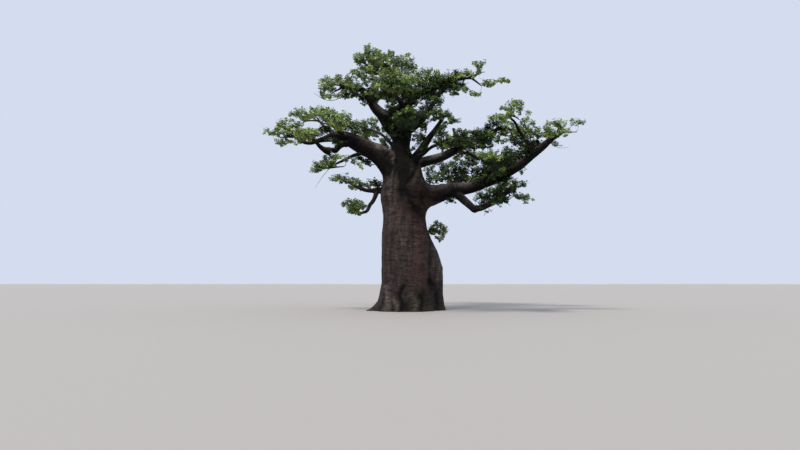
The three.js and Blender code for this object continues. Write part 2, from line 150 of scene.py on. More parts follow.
# the trunk's two stems: the middle of each at some heights, across and to the back, and half its width
# and depth
mainStem = [
    dict(height=0, middle=-0.2, wide=1.7, deep=1.64),
    dict(height=0.3, middle=-0.17, wide=1.61, deep=1.57),
    dict(height=0.8, middle=-0.13, wide=1.51, deep=1.49),
    dict(height=1.7, middle=-0.105, wide=1.425, deep=1.42),
    dict(height=3.5, middle=-0.17, wide=1.385, deep=1.38),
    dict(height=5, middle=-0.205, wide=1.25, deep=1.29),
    dict(height=5.7, middle=-0.2, wide=1.2, deep=1.24),
    dict(height=6.4, middle=-0.2, wide=1.28, deep=1.27),
    dict(height=7.1, middle=-0.16, wide=1.35, deep=1.3),
    dict(height=7.7, middle=-0.24, wide=1.12, deep=1.15),
    dict(height=8.3, middle=-0.25, wide=1.04, deep=1),
    dict(height=8.9, middle=-0.27, wide=0.82, deep=0.82),
    dict(height=9.2, middle=-0.29, wide=0.62, deep=0.62),
]

secondStem = [
    dict(height=0, middle=1.19, back=0.7, wide=0.97),
    dict(height=0.9, middle=1.13, back=0.69, wide=0.93),
    dict(height=2.5, middle=1.08, back=0.64, wide=0.96),
    dict(height=3.5, middle=0.89, back=0.56, wide=0.84),
    dict(height=4.3, middle=0.64, back=0.46, wide=0.69),
    dict(height=5.3, middle=0.33, back=0.33, wide=0.59),
]

# the limbs: what each grows on and where, as a share of its length or a height up the trunk, its radius
# at root and tip, and its heading, run and rise. Arch, sway and wander bend it, taper and girth shape it,
# and swell is the middle, reach and depth of a thicker stretch
limbs = {
    "leader": dict(on="trunk", at=7.6, root=0.7, tip=0.46, girth=0.95,
        heading=126, run=0.31, rise=3.45, wander=-0.05),
    "bough_left": dict(on="trunk", at=7.6, root=0.95, tip=0.12, taper=1.5, swell=(0.68, 0.2, 0.1),
        heading=-162, run=5.48, rise=2, arch=1.15, wander=-0.08),
    "bough_right": dict(on="trunk", at=6.76, root=1.1, tip=0.28, taper=3,
        heading=-17, run=5.94, rise=0.92, arch=-0.3, wander=0.06),
    "bough_right_rise": dict(on="bough_right", at=0.95, root=0.29, tip=0.19,
        heading=-21, run=2.62, rise=1.75, arch=-0.1, wander=0.02),
    "bough_right_upper": dict(on="trunk", at=8.45, root=0.42, tip=0.15, girth=0.82,
        heading=17, run=6.15, rise=2.77, arch=-0.25, wander=-0.06),
    "bough_right_inner": dict(on="trunk", at=8, root=0.52, tip=0.12, taper=1.2, girth=0.78,
        heading=-30, run=2.62, rise=3.13, wander=-0.12),
    "bough_front": dict(on="leader", at=0.87, root=0.25, tip=0.12,
        heading=-86, run=4.8, rise=-0.8, arch=0.25, wander=0.06),
    "bough_back": dict(on="trunk", at=8.2, root=0.36, tip=0.15,
        heading=94, run=6.41, rise=4.13, arch=0.8, wander=0.12),
    "bough_back_left": dict(on="leader", at=0.37, root=0.22, tip=0.09, taper=1.5, girth=0.75,
        heading=117, run=4.73, rise=2.9, arch=0.35, wander=-0.03),
    "bough_back_right": dict(on="bough_right", at=0.22, root=0.3, tip=0.13,
        heading=67, run=5.46, rise=1.49, arch=0.1, wander=0.05),
    "branch_side_left": dict(on="trunk", at=7.19, root=0.25, tip=0.15,
        heading=174, run=1.89, rise=-0.09),
    "branch_low_left": dict(on="branch_side_left", at=0.88, root=0.15, tip=0.08,
        heading=-142, run=1.09, rise=-1.42, arch=-0.3, wander=-0.05),
    "fork_left": dict(on="leader", at=0.82, root=0.42, tip=0.17, girth=1.15,
        heading=-167, run=2.13, rise=2.4, arch=-0.25, wander=0.06),
    "fork_crown": dict(on="leader", at=0.95, root=0.24, tip=0.11,
        heading=136, run=0.37, rise=3.04, sway=-0.6, wander=0.1),
    "fork_front": dict(on="fork_crown", at=0.35, root=0.17, tip=0.1,
        heading=-101, run=4.45, rise=-0.43, arch=0.45, wander=0.06),
    "fork_back": dict(on="leader", at=0.94, root=0.24, tip=0.1,
        heading=88, run=3.93, rise=2.74, arch=0.3, wander=0.12),
    "fork_right": dict(on="fork_left", at=0.53, root=0.27, tip=0.14, girth=0.74,
        heading=5, run=4.79, rise=2.48, arch=0.25, wander=0.04),
    "fork_right_back": dict(on="leader", at=0.82, root=0.36, tip=0.12, girth=0.72,
        heading=47, run=3.74, rise=3.55, arch=-0.4, wander=0.03),
    "limb_top_left": dict(on="fork_left", at=0.94, root=0.14, tip=0.08,
        heading=-9, run=0.91, rise=1.03, arch=0.2, sway=0.15, wander=0.05),
    "limb_hook": dict(on="bough_left", at=0.6, root=0.26, tip=0.15, girth=0.85,
        heading=-128, run=1.88, rise=-1.01, arch=-0.1, wander=0.1),
    "limb_hook_rise": dict(on="limb_hook", at=0.95, root=0.15, tip=0.08,
        heading=-141, run=0.88, rise=0.42, arch=-0.12),
    "limb_left_back": dict(on="bough_left", at=0.72, root=0.19, tip=0.08,
        heading=109, run=5.05, rise=2, arch=-0.1, wander=0.06),
    "limb_left_up": dict(on="bough_left", at=0.65, root=0.15, tip=0.07,
        heading=-96, run=2.97, rise=-0.19, wander=0.04),
    "limb_left_low": dict(on="bough_left", at=0.37, root=0.12, tip=0.045,
        heading=-156, run=2.57, rise=-1.22, arch=0.1, wander=0.02),
    "limb_right_low": dict(on="bough_right", at=0.49, root=0.25, tip=0.19,
        heading=-45, run=1.57, rise=-1.27),
    "limb_right_low_rise": dict(on="limb_right_low", at=0.95, root=0.19, tip=0.12,
        heading=-20, run=2.15, rise=1.08, arch=-0.26, wander=0.03),
    "limb_right_mid": dict(on="bough_right", at=0.75, root=0.13, tip=0.07,
        heading=-75, run=3.07, rise=0.7, arch=0.1, wander=0.05),
    "limb_right_upright": dict(on="bough_right_rise", at=0.7, root=0.14, tip=0.06,
        heading=180, run=1.14, rise=2.09, arch=0.2, wander=0.08),
    "limb_upper_side": dict(on="bough_right_upper", at=0.46, root=0.14, tip=0.07,
        heading=59, run=4.3, rise=0.48, arch=0.3, wander=0.04),
    "limb_upper_front": dict(on="bough_right_upper", at=0.55, root=0.1, tip=0.05,
        heading=-76, run=2.37, rise=0, arch=0.05, wander=0.04),
    "limb_inner_side": dict(on="bough_right_inner", at=0.29, root=0.13, tip=0.06,
        heading=-60, run=3.51, rise=0.54, arch=0.05, wander=-0.05),
}

# the masses of foliage: the limb that carries each, how many twigs and sprays it has, the middle and reach
# of its space, and how light its leaves are where they aren't plain: the painted light dealt to them, below
# zero painted shade
masses = {
    "leaves_left_tip": dict(on="bough_left", twigs=4, sprays=20, light=0.2,
        middle=(-6.9, -1.6, 10.25), reach=(1.55, 1.45, 0.8)),
    "leaves_left_hook": dict(on="limb_hook_rise", twigs=3, sprays=11, light=0.1,
        middle=(-5.34, -4, 9.59), reach=(1.35, 1.3, 0.6)),
    "leaves_left_top": dict(on="limb_left_up", twigs=3, sprays=17, light=0.25,
        middle=(-4.2, -5.2, 9.9), reach=(1.6, 1.7, 0.62)),
    "leaves_left_back": dict(on="limb_left_back", twigs=5, sprays=26, light=0.3,
        middle=(-6.17, 4.8, 12.62), reach=(2.1, 2.1, 0.85)),
    "leaves_left_low": dict(on="limb_left_low", twigs=3, sprays=14, light=0.2,
        middle=(-4.2, -2.2, 8.2), reach=(1.75, 1.15, 0.64)),
    "leaves_side_left": dict(on="branch_side_left", twigs=3, sprays=8, light=0.2,
        middle=(-3.54, 1.2, 7.76), reach=(1.5, 1, 0.58)),
    "leaves_low_left": dict(on="branch_low_left", twigs=3, sprays=8, light=0.2,
        middle=(-3.17, -1.2, 5.95), reach=(0.85, 0.8, 0.48)),
    "leaves_crest_left": dict(on="fork_left", twigs=4, sprays=22, light=0.25,
        middle=(-4.01, -0.8, 13.07), reach=(1.6, 1.7, 0.85)),
    "leaves_top_left": dict(on="limb_top_left", twigs=3, sprays=18, light=0.25,
        middle=(-2.45, -1.2, 14.38), reach=(1.1, 1.4, 1.25)),
    "leaves_top": dict(on="fork_crown", twigs=5, sprays=30, light=0.25,
        middle=(-1.15, 1, 15.05), reach=(1.75, 2.2, 1.05)),
    "leaves_top_front": dict(on="fork_front", twigs=4, sprays=20, light=-0.1,
        middle=(-0.89, -4.6, 12.14), reach=(1.7, 1.9, 0.85)),
    "leaves_top_back": dict(on="fork_back", twigs=5, sprays=26,
        middle=(-0.19, 5.6, 14.82), reach=(2, 2.1, 0.95)),
    "leaves_crest_right": dict(on="fork_right", twigs=5, sprays=32, light=0.3,
        middle=(4, 0.5, 14.05), reach=(2.5, 1.7, 1.15)),
    "leaves_crest_mid": dict(on="fork_right_back", twigs=4, sprays=26, light=0.15,
        middle=(1.45, 4.4, 14.95), reach=(1.5, 1.9, 1.1)),
    "leaves_inner": dict(on="bough_right_inner", twigs=3, sprays=18, light=-0.4,
        middle=(1.8, -1.8, 11.05), reach=(1.3, 1.4, 1.2)),
    "leaves_inner_side": dict(on="limb_inner_side", twigs=3, sprays=9, light=-0.7,
        middle=(2.4, -4.8, 9.25), reach=(1.25, 1.3, 0.8)),
    "leaves_upper": dict(on="bough_right_upper", twigs=4, sprays=16, light=-0.1,
        middle=(6.95, 2.2, 11.1), reach=(1.85, 1.7, 0.92)),
    "leaves_upper_side": dict(on="limb_upper_side", twigs=4, sprays=24, light=-0.35,
        middle=(4.92, 5.9, 10.26), reach=(1.8, 1.8, 0.8)),
    "leaves_upper_front": dict(on="limb_upper_front", twigs=3, sprays=10, light=-0.2,
        middle=(3.87, -2.2, 9.68), reach=(1.25, 1.2, 0.62)),
    "leaves_right_upright": dict(on="limb_right_upright", twigs=3, sprays=15, light=0.5,
        middle=(5.87, -2.2, 11.18), reach=(1.45, 1.4, 0.9)),
    "leaves_right_tip": dict(on="bough_right_rise", twigs=3, sprays=20, light=0.35,
        middle=(8.6, -2.8, 9.95), reach=(1.5, 1.5, 0.8)),
    "leaves_right_mid": dict(on="limb_right_mid", twigs=3, sprays=15, light=-0.45,
        middle=(4.82, -5.2, 7.94), reach=(1.15, 1.4, 0.75)),
    "leaves_right_low": dict(on="limb_right_low_rise", twigs=3, sprays=16, light=-0.45,
        middle=(5.3, -3, 6.56), reach=(2.05, 1.35, 0.8)),
    "leaves_front": dict(on="bough_front", twigs=3, sprays=15, light=-0.85,
        middle=(0.15, -6.1, 9.85), reach=(0.95, 1.4, 0.6)),
    "leaves_back": dict(on="bough_back", twigs=5, sprays=26,
        middle=(-0.62, 7.8, 13.64), reach=(2.2, 1.9, 0.95)),
    "leaves_back_left": dict(on="bough_back_left", twigs=4, sprays=17,
        middle=(-3.25, 5.8, 12.11), reach=(1.4, 1.8, 0.9)),
    "leaves_back_right": dict(on="bough_back_right", twigs=4, sprays=30, light=-0.45,
        middle=(3.42, 6.2, 9.15), reach=(2.55, 1.8, 1)),
    "leaves_trunk": dict(on="trunk", twigs=3, sprays=10,
        middle=(1.81, 0.6, 4.71), reach=(0.6, 0.6, 0.65)),
}

# shallow waves round the girth, root toes round the foot, and the furrow down the front of the fork
flutes = [dict(lobes=5, depth=0.022, phase=0.6), dict(lobes=8, depth=0.014, phase=2.1)]
toes = [
    dict(heading=-172, reach=0.34, width=15, height=0.33),
    dict(heading=-128, reach=0.17, width=17, height=0.56),
    dict(heading=-96, reach=0.15, width=12, height=0.42),
    dict(heading=-62, reach=0.19, width=15, height=0.64),
    dict(heading=-28, reach=0.16, width=14, height=0.50),
    dict(heading=18, reach=0.20, width=16, height=0.48),
    dict(heading=66, reach=0.17, width=17, height=0.62),
    dict(heading=104, reach=0.22, width=15, height=0.52),
    dict(heading=147, reach=0.18, width=17, height=0.56),
]
furrow = dict(heading=-76, width=16, depth=0.14, height=8.0, spread=1.1)


def unit(vectors):
    return vectors / np.maximum(np.linalg.norm(vectors, axis=-1, keepdims=True), 1e-9)


def dot(a, b):
    return (a * b).sum(-1)


# a steady number from 0 to 1 for a seed and an index: the fraction of a large multiple of a sine
def chance(seed, index):
    wave = np.sin(seed * 12.9898 + np.asarray(index, float) * 78.233) * 43758.5453
    return wave - np.floor(wave)


latticeSize = 24
lattice = np.random.default_rng(11).random((latticeSize,) * 3) * 2 - 1


# smooth noise from -1 to 1: random values on a repeating lattice, eased along each axis between them
def cloud(points):
    corner = np.floor(points).astype(int)
    part = points - corner
    part = part * part * (3 - 2 * part)
    low, high = corner % latticeSize, (corner + 1) % latticeSize
    total = 0
    for pick in np.ndindex(2, 2, 2):
        cell = [np.where(p, high[..., i], low[..., i]) for i, p in enumerate(pick)]
        weight = 1
        for i, p in enumerate(pick):
            weight = weight * (part[..., i] if p else 1 - part[..., i])
        total = total + weight * lattice[cell[0], cell[1], cell[2]]
    return total


# the sizes in a table of rows at heights between them
def sizeAt(rows, key, height):
    return np.interp(height, [row["height"] for row in rows], [row.get(key, 0) for row in rows])


# a bump of the given width in degrees round one heading: a bell curve of the angle between
def bump(heading, middle, width):
    apart = (heading - middle + 180) % 360 - 180
    return np.exp(-(apart / width) ** 2)


# how far the trunk stands out at a heading and height, as a share of its plain girth: one, plus a sine
# for each flute, plus a bell for each toe that dies away upwards, less the furrow
def girthWave(heading, height):
    wave = np.ones_like(heading)
    for flute in flutes:
        wave += flute["depth"] * np.sin(flute["lobes"] * np.radians(heading) + flute["phase"])
    for toe in toes:
        wave += toe["reach"] * bump(heading, toe["heading"], toe["width"]) * np.exp(-height / toe["height"])
    level = np.exp(-((height - furrow["height"]) / furrow["spread"]) ** 2)
    return wave - furrow["depth"] * level * bump(heading, furrow["heading"], furrow["width"])


# how limbs are worked out: how many sines of wander there are to a length, sideways and up, into how many
# stretches and finer steps it is cut, the step that gives the tip's way, and how far each one's grain is
# shifted
limbLine = dict(waves=(1.6, 1.9), stretches=28, fine=200, tipStep=0.0001, grainShift=3.7)


# points along a limb: straight from its start by run and rise, plus a bow of 4t(1-t) that arches and
# sways it, plus two sines under the same bow that make it wander
def limbPoints(limb, seed, start, t):
    t = np.asarray(t, float)[:, None]
    heading = np.radians(limb["heading"])
    along = np.array([np.cos(heading), np.sin(heading), 0])
    side = np.array([-along[1], along[0], 0])
    up = np.array([0, 0, 1])
    wander = limb.get("wander", 0)
    bow = 4 * t * (1 - t)
    sideways, upwards = limbLine["waves"]
    sideWave = bow * np.sin(2 * np.pi * (sideways * t + chance(seed, 1)))
    upWave = bow * np.sin(2 * np.pi * (upwards * t + chance(seed, 2)))
    return (start + along * limb["run"] * t
        + side * (limb.get("sway", 0) * bow + wander * sideWave)
        + up * (limb["rise"] * t + limb.get("arch", 0) * bow + wander * upWave))


# rows of three numbers read off at wanted places between known ones
def readOff(wanted, known, rows):
    return np.stack([np.interp(wanted, known, rows[:, i]) for i in range(3)], 1)


# a line of points spaced evenly by length through finely sampled ones, with its length
def spacedLine(fine, count):
    steps = np.linalg.norm(np.diff(fine, axis=0), axis=1)
    along = np.concatenate([[0], np.cumsum(steps)])
    return readOff(np.linspace(0, along[-1], count), along, fine), along[-1]


# a limb's radius at shares of its length: straight from root to tip, or drawn in sooner by its taper
def taperAt(limb, share):
    return limb["tip"] + (limb["root"] - limb["tip"]) * (1 - share) ** limb.get("taper", 1)


# the middle line, radius and side vector of every limb, each starting on the one that carries it. A
# swelling is a flat-topped bell added to the radius
def growLimbs():
    grown = {}
    for index, (name, limb) in enumerate(limbs.items()):
        if limb["on"] == "trunk":
            start = np.array([sizeAt(mainStem, "middle", limb["at"]), 0, limb["at"]])
        else:
            carrier = grown[limb["on"]]
            start = limbPoints(limbs[limb["on"]], carrier["seed"], carrier["start"], [limb["at"]])[0]
        seed = index + 1
        fine = limbPoints(limb, seed, start, np.linspace(0, 1, limbLine["fine"] + 1))
        line, length = spacedLine(fine, limbLine["stretches"] + 1)
        share = np.linspace(0, 1, limbLine["stretches"] + 1)
        middle, reach, thicker = limb.get("swell", (0, 1, 0))
        radius = taperAt(limb, share) * limb.get("girth", 1)
        radius = radius + thicker * np.exp(-((share - middle) / reach) ** 4)
        heading = np.radians(limb["heading"])
        tangents = unit(np.gradient(line, axis=0))
        end = limbPoints(limb, seed, start, [1 - limbLine["tipStep"], 1])
        grown[name] = dict(seed=seed, start=start, line=line, length=length, radius=radius,
            tangents=tangents, side=np.array([-np.sin(heading), np.cos(heading), 0]),
            tip=end[1], pointing=unit(end[1] - end[0]))
    return grown


grownLimbs = growLimbs()


# the radius of a grown limb at shares of its length
def radiusAt(limb, share):
    return np.interp(share, np.linspace(0, 1, len(limb["radius"])), limb["radius"])


# rings of points round a line: a cosine of the radius to one side and a sine of it across
def ringsRound(line, tangents, side, radius, sides):
    across = unit(side - tangents * dot(tangents, side)[:, None])
    over = np.cross(tangents, across)
    turn = np.linspace(0, 2 * np.pi, sides, endpoint=False)
    reach = np.broadcast_to(np.asarray(radius).reshape(len(line), -1), (len(line), sides))
    return (line[:, None] + across[:, None] * (np.cos(turn) * reach)[..., None]
        + over[:, None] * (np.sin(turn) * reach)[..., None])


# the wall of a tube: two triangles for each square between a ring and the next
def wallFaces(count, sides):
    ring, turn = np.meshgrid(np.arange(count - 1), np.arange(sides), indexing="ij")
    a, b = ring * sides + turn, ring * sides + (turn + 1) % sides
    walls = np.concatenate([np.stack([a, b, b + sides], -1), np.stack([a, b + sides, a + sides], -1)])
    return walls.reshape(-1, 3)


# rings joined into one closed skin of triangles, with a fan over each end
def closedLoft(rings):
    steps, sides = rings.shape[:2]
    points = np.concatenate([rings.reshape(-1, 3), rings[:1].mean(1), rings[-1:].mean(1)])
    turn = np.arange(sides)
    after = (turn + 1) % sides
    last = (steps - 1) * sides
    foot = np.stack([after, turn, np.full(sides, steps * sides)], -1)
    head = np.stack([last + turn, last + after, np.full(sides, steps * sides + 1)], -1)
    return points, np.concatenate([wallFaces(steps, sides), foot, head])


# several meshes as one: the faces of each count on from the points before
def joined(parts):
    before = np.cumsum([0] + [len(points) for points, _ in parts])
    faces = [own + count for (_, own), count in zip(parts, before)]
    return np.concatenate([points for points, _ in parts]), np.concatenate(faces)


# a mesh of points and of faces that all have as many corners
def meshOf(name, points, faces):
    mesh = bpy.data.meshes.new(name)
    mesh.vertices.add(len(points))
    mesh.vertices.foreach_set("co", points.astype(np.float32).ravel())
    mesh.loops.add(faces.size)
    mesh.loops.foreach_set("vertex_index", faces.astype(np.int32).ravel())
    mesh.polygons.add(len(faces))
    mesh.polygons.foreach_set("loop_start", np.arange(0, faces.size, faces.shape[1], dtype=np.int32))
    mesh.update(calc_edges=True)
    mesh.validate()
    return mesh


# a finished piece on the one body, in place of the solids that it dresses
def addPiece(mesh, material, nodes, smooth=True):
    mesh.polygons.foreach_set("use_smooth", np.full(len(mesh.polygons), smooth))
    mesh.materials.append(material)
    piece = placed(mesh.name, mesh)
    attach(piece, "root")
    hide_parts(*nodes)
    print(mesh.name, "made of", len(mesh.polygons), "faces")


# the skin of trunk and stout boughs: how coarse its first net is, which limbs are stout, how far each
# pair of forms flows together as a share of the limb's own girth, and how the net is drawn onto the forms
skin = dict(
    net=0.055, stoutRoot=0.185, alsoStout=("branch_low_left", "branch_side_left"),
    stemFlow=0.35, limbFlow=0.8, flows=dict(bough_left=0.35, bough_right_inner=1.2), followFlow=0.25,
    followsFrom=0.9, margin=1.0, passes=5, ease=0.5, mostStep=0.2, drawIn=0.45,
    trunkSides=96, trunkSteps=90, limbSides=20, below=0.2, groundEdge=0.002, flat=0.9,
)
stout = [name for name, limb in limbs.items()
    if limb["root"] >= skin["stoutRoot"] or name in skin["alsoStout"]]


# rings of one upright stem of the trunk from under the ground to its top
def stemRings(rows):
    top = rows[-1]["height"]
    height = np.linspace(-skin["below"], top, skin["trunkSteps"])[:, None]
    heading = np.linspace(-180, 180, skin["trunkSides"], endpoint=False)[None]
    heading = np.broadcast_to(heading, (len(height), skin["trunkSides"]))
    level = np.broadcast_to(np.maximum(height, 0), heading.shape)
    wave = girthWave(heading, level)
    wide = sizeAt(rows, "wide", level)
    deep = sizeAt(rows, "deep", level) if "deep" in rows[0] else wide
    x = sizeAt(rows, "middle", level) + np.cos(np.radians(heading)) * wide * wave
    y = sizeAt(rows, "back", level) + np.sin(np.radians(heading)) * deep * wave
    return np.stack([x, y, np.broadcast_to(height, heading.shape)], -1)


# about how far points lie outside one upright stem: its girth at their height, times how much further out
# they are. It draws in towards its top, so that it ends inside what grows from it
def stemField(rows, points):
    level = np.maximum(points[:, 2], 0)
    wide = sizeAt(rows, "wide", level)
    deep = sizeAt(rows, "deep", level) if "deep" in rows[0] else wide
    x = (points[:, 0] - sizeAt(rows, "middle", level)) / wide
    y = (points[:, 1] - sizeAt(rows, "back", level)) / deep
    heading = np.degrees(np.arctan2(y, x))
    around = (np.hypot(x, y) - girthWave(heading, level)) * wide
    around += skin["drawIn"] * np.maximum(level - rows[-1]["height"] + 1, 0) ** 2
    above = points[:, 2] - rows[-1]["height"]
    return np.where(above > 0, np.hypot(np.maximum(around, 0), above), around)


# how far points lie outside a limb: the distance to its nearest stretch less the radius there. Also gives
# that place as a share of its length
def limbField(limb, points):
    line, radius = limb["line"], limb["radius"]
    best = np.full(len(points), np.inf)
    share = np.zeros(len(points))
    for step in range(len(line) - 1):
        stretch = line[step + 1] - line[step]
        away = points - line[step]
        part = np.clip(away @ stretch / (stretch @ stretch), 0, 1)
        outside = np.linalg.norm(away - part[:, None] * stretch, axis=1)
        outside -= radius[step] + part * (radius[step + 1] - radius[step])
        nearer = outside < best
        best[nearer] = outside[nearer]
        share[nearer] = ((step + part) / (len(line) - 1))[nearer]
    return best, share


# the lesser of two distances, rounded where they are nearly alike, so that two forms flow together
def flowTogether(first, second, reach):
    overlap = np.maximum(reach - np.abs(first - second), 0) / reach
    return np.minimum(first, second) - overlap ** 2 * reach / 4


# the whole skin's distance from points, which form is nearest (0 the trunk), how far along it, and how
# much nearer it is than the next form
def skinField(points):
    total = flowTogether(stemField(mainStem, points), stemField(secondStem, points), skin["stemFlow"])
    nearest = np.zeros(len(points), int)
    along = np.zeros(len(points))
    first = total.copy()
    second = np.full(len(points), np.inf)
    for index, name in enumerate(stout, 1):
        limb = grownLimbs[name]
        margin = limb["radius"].max() + skin["margin"]
        near = ((points > limb["line"].min(0) - margin) & (points < limb["line"].max(0) + margin)).all(1)
        outside, share = limbField(limb, points[near])
        follows = limbs[name]["on"] != "trunk" and limbs[name]["at"] > skin["followsFrom"]
        flow = skin["followFlow"] if follows else skin["flows"].get(name, skin["limbFlow"])
        total[near] = flowTogether(total[near], outside, flow * radiusAt(limb, share))
        places = np.flatnonzero(near)
        wins = outside < first[places]
        second[places] = np.where(wins, first[places], np.minimum(second[places], outside))
        first[places] = np.where(wins, outside, first[places])
        nearest[places[wins]] = index
        along[places[wins]] = share[wins]
    return total, nearest, along, second - first


# normals of points: the crossed diagonals of the faces round each, added up
def pointNormals(points, corners):
    a, b, c, d = points[corners].transpose(1, 0, 2)
    across = np.cross(c - a, d - b)
    total = np.zeros_like(points)
    for side in range(4):
        for axis in range(3):
            total[:, axis] += np.bincount(corners[:, side], across[:, axis], len(points))
    return unit(total)


# each point eased towards the middle of its neighbours, but only along the surface
def easedAlong(points, normals, edges, share):
    total = np.zeros_like(points)
    for axis in range(3):
        total[:, axis] = (np.bincount(edges[:, 0], points[edges[:, 1], axis], len(points))
            + np.bincount(edges[:, 1], points[edges[:, 0], axis], len(points)))
    count = np.bincount(edges.ravel(), minlength=len(points))[:, None]
    shift = total / np.maximum(count, 1) - points
    return points + share * (shift - normals * dot(shift, normals)[:, None])


# a mesh's points, the points at the ends of its edges, and those at the corners of its faces
def readMesh(mesh):
    points = np.empty(len(mesh.vertices) * 3, np.float32)
    mesh.vertices.foreach_get("co", points)
    edges = np.empty(len(mesh.edges) * 2, np.int32)
    mesh.edges.foreach_get("vertices", edges)
    corners = np.empty(len(mesh.loops), np.int32)
    mesh.loops.foreach_get("vertex_index", corners)
    return points.reshape(-1, 3).astype(float), edges.reshape(-1, 2), corners


# one even net of squares round the lofts of trunk and stout limbs, drawn onto the flowing skin, then cut
# flat at the ground
def skinNet():
    lofts = [closedLoft(stemRings(mainStem)), closedLoft(stemRings(secondStem))]
    for name in stout:
        limb = grownLimbs[name]
        rings = ringsRound(limb["line"], limb["tangents"], limb["side"], limb["radius"], skin["limbSides"])
        lofts.append(closedLoft(rings))
    rough = placed("rough", meshOf("rough", *joined(lofts)))
    net = rough.modifiers.new("net", "REMESH")
    net.mode = "VOXEL"
    net.voxel_size = skin["net"]
    shown = rough.evaluated_get(bpy.context.evaluated_depsgraph_get())
    mesh = bpy.data.meshes.new_from_object(shown)
    bpy.data.objects.remove(rough)
    points, edges, corners = readMesh(mesh)
    corners = corners.reshape(-1, 4)
    for _ in range(skin["passes"]):
        normals = pointNormals(points, corners)
        outside = skinField(points)[0]
        points = points - normals * np.clip(outside, -skin["mostStep"], skin["mostStep"])[:, None]
        points = easedAlong(points, pointNormals(points, corners), edges, skin["ease"])
    mesh.vertices.foreach_set("co", points.astype(np.float32).ravel())
    mesh.update()
    cut = bmesh.new()
    cut.from_mesh(mesh)
    everything = cut.verts[:] + cut.edges[:] + cut.faces[:]
    done = bmesh.ops.bisect_plane(cut, geom=everything,
        plane_co=(0, 0, 0), plane_no=(0, 0, 1), clear_inner=True)
    rim = [edge for edge in done["geom_cut"] if isinstance(edge, bmesh.types.BMEdge)]
    bmesh.ops.holes_fill(cut, edges=rim, sides=0)
    bmesh.ops.triangulate(cut, faces=[face for face in cut.faces if len(face.verts) > 4])
    cut.to_mesh(mesh)
    cut.free()
    return mesh


# where points lie in the grain of what they are nearest to: to the side, across and along it
def grainOf(points, nearest, along):
    grain = points.copy()
    for index, name in enumerate(stout, 1):
        mine = nearest == index
        if mine.any():
            grain[mine] = limbGrain(grownLimbs[name], points[mine], along[mine])
    return grain


# the same for one limb: how far from its middle line to the side and over, and how far along it
def limbGrain(limb, points, along):
    share = np.linspace(0, 1, len(limb["line"]))
    middle = readOff(along, share, limb["line"])
    tangent = unit(readOff(along, share, limb["tangents"]))
    side = unit(limb["side"] - tangent * dot(tangent, limb["side"])[:, None])
    away = points - middle
    place = np.stack([dot(away, side), dot(away, np.cross(tangent, side)), along * limb["length"]], 1)
    return place + limb["seed"] * limbLine["grainShift"]


# relief: how deep each kind of unevenness of the bark is, how many of it there are to a metre, and a
# shift that makes its noise unlike the others; folds are the same with creases, and all are shallower on
# slim limbs
relief = dict(
    lumps=(0.030, 1.1, 0), knobs=(0.018, 2.6, 5), fold=0.026, folds=(3.0, 3.0, 0.38),
    ribs=(0.012, (7.5, 7.5, 0.9), 9), wrinkles=(0.007, (1.8, 1.8, 9.0), 2),
    fullGirth=0.6, least=0.3, seam=0.15,
)
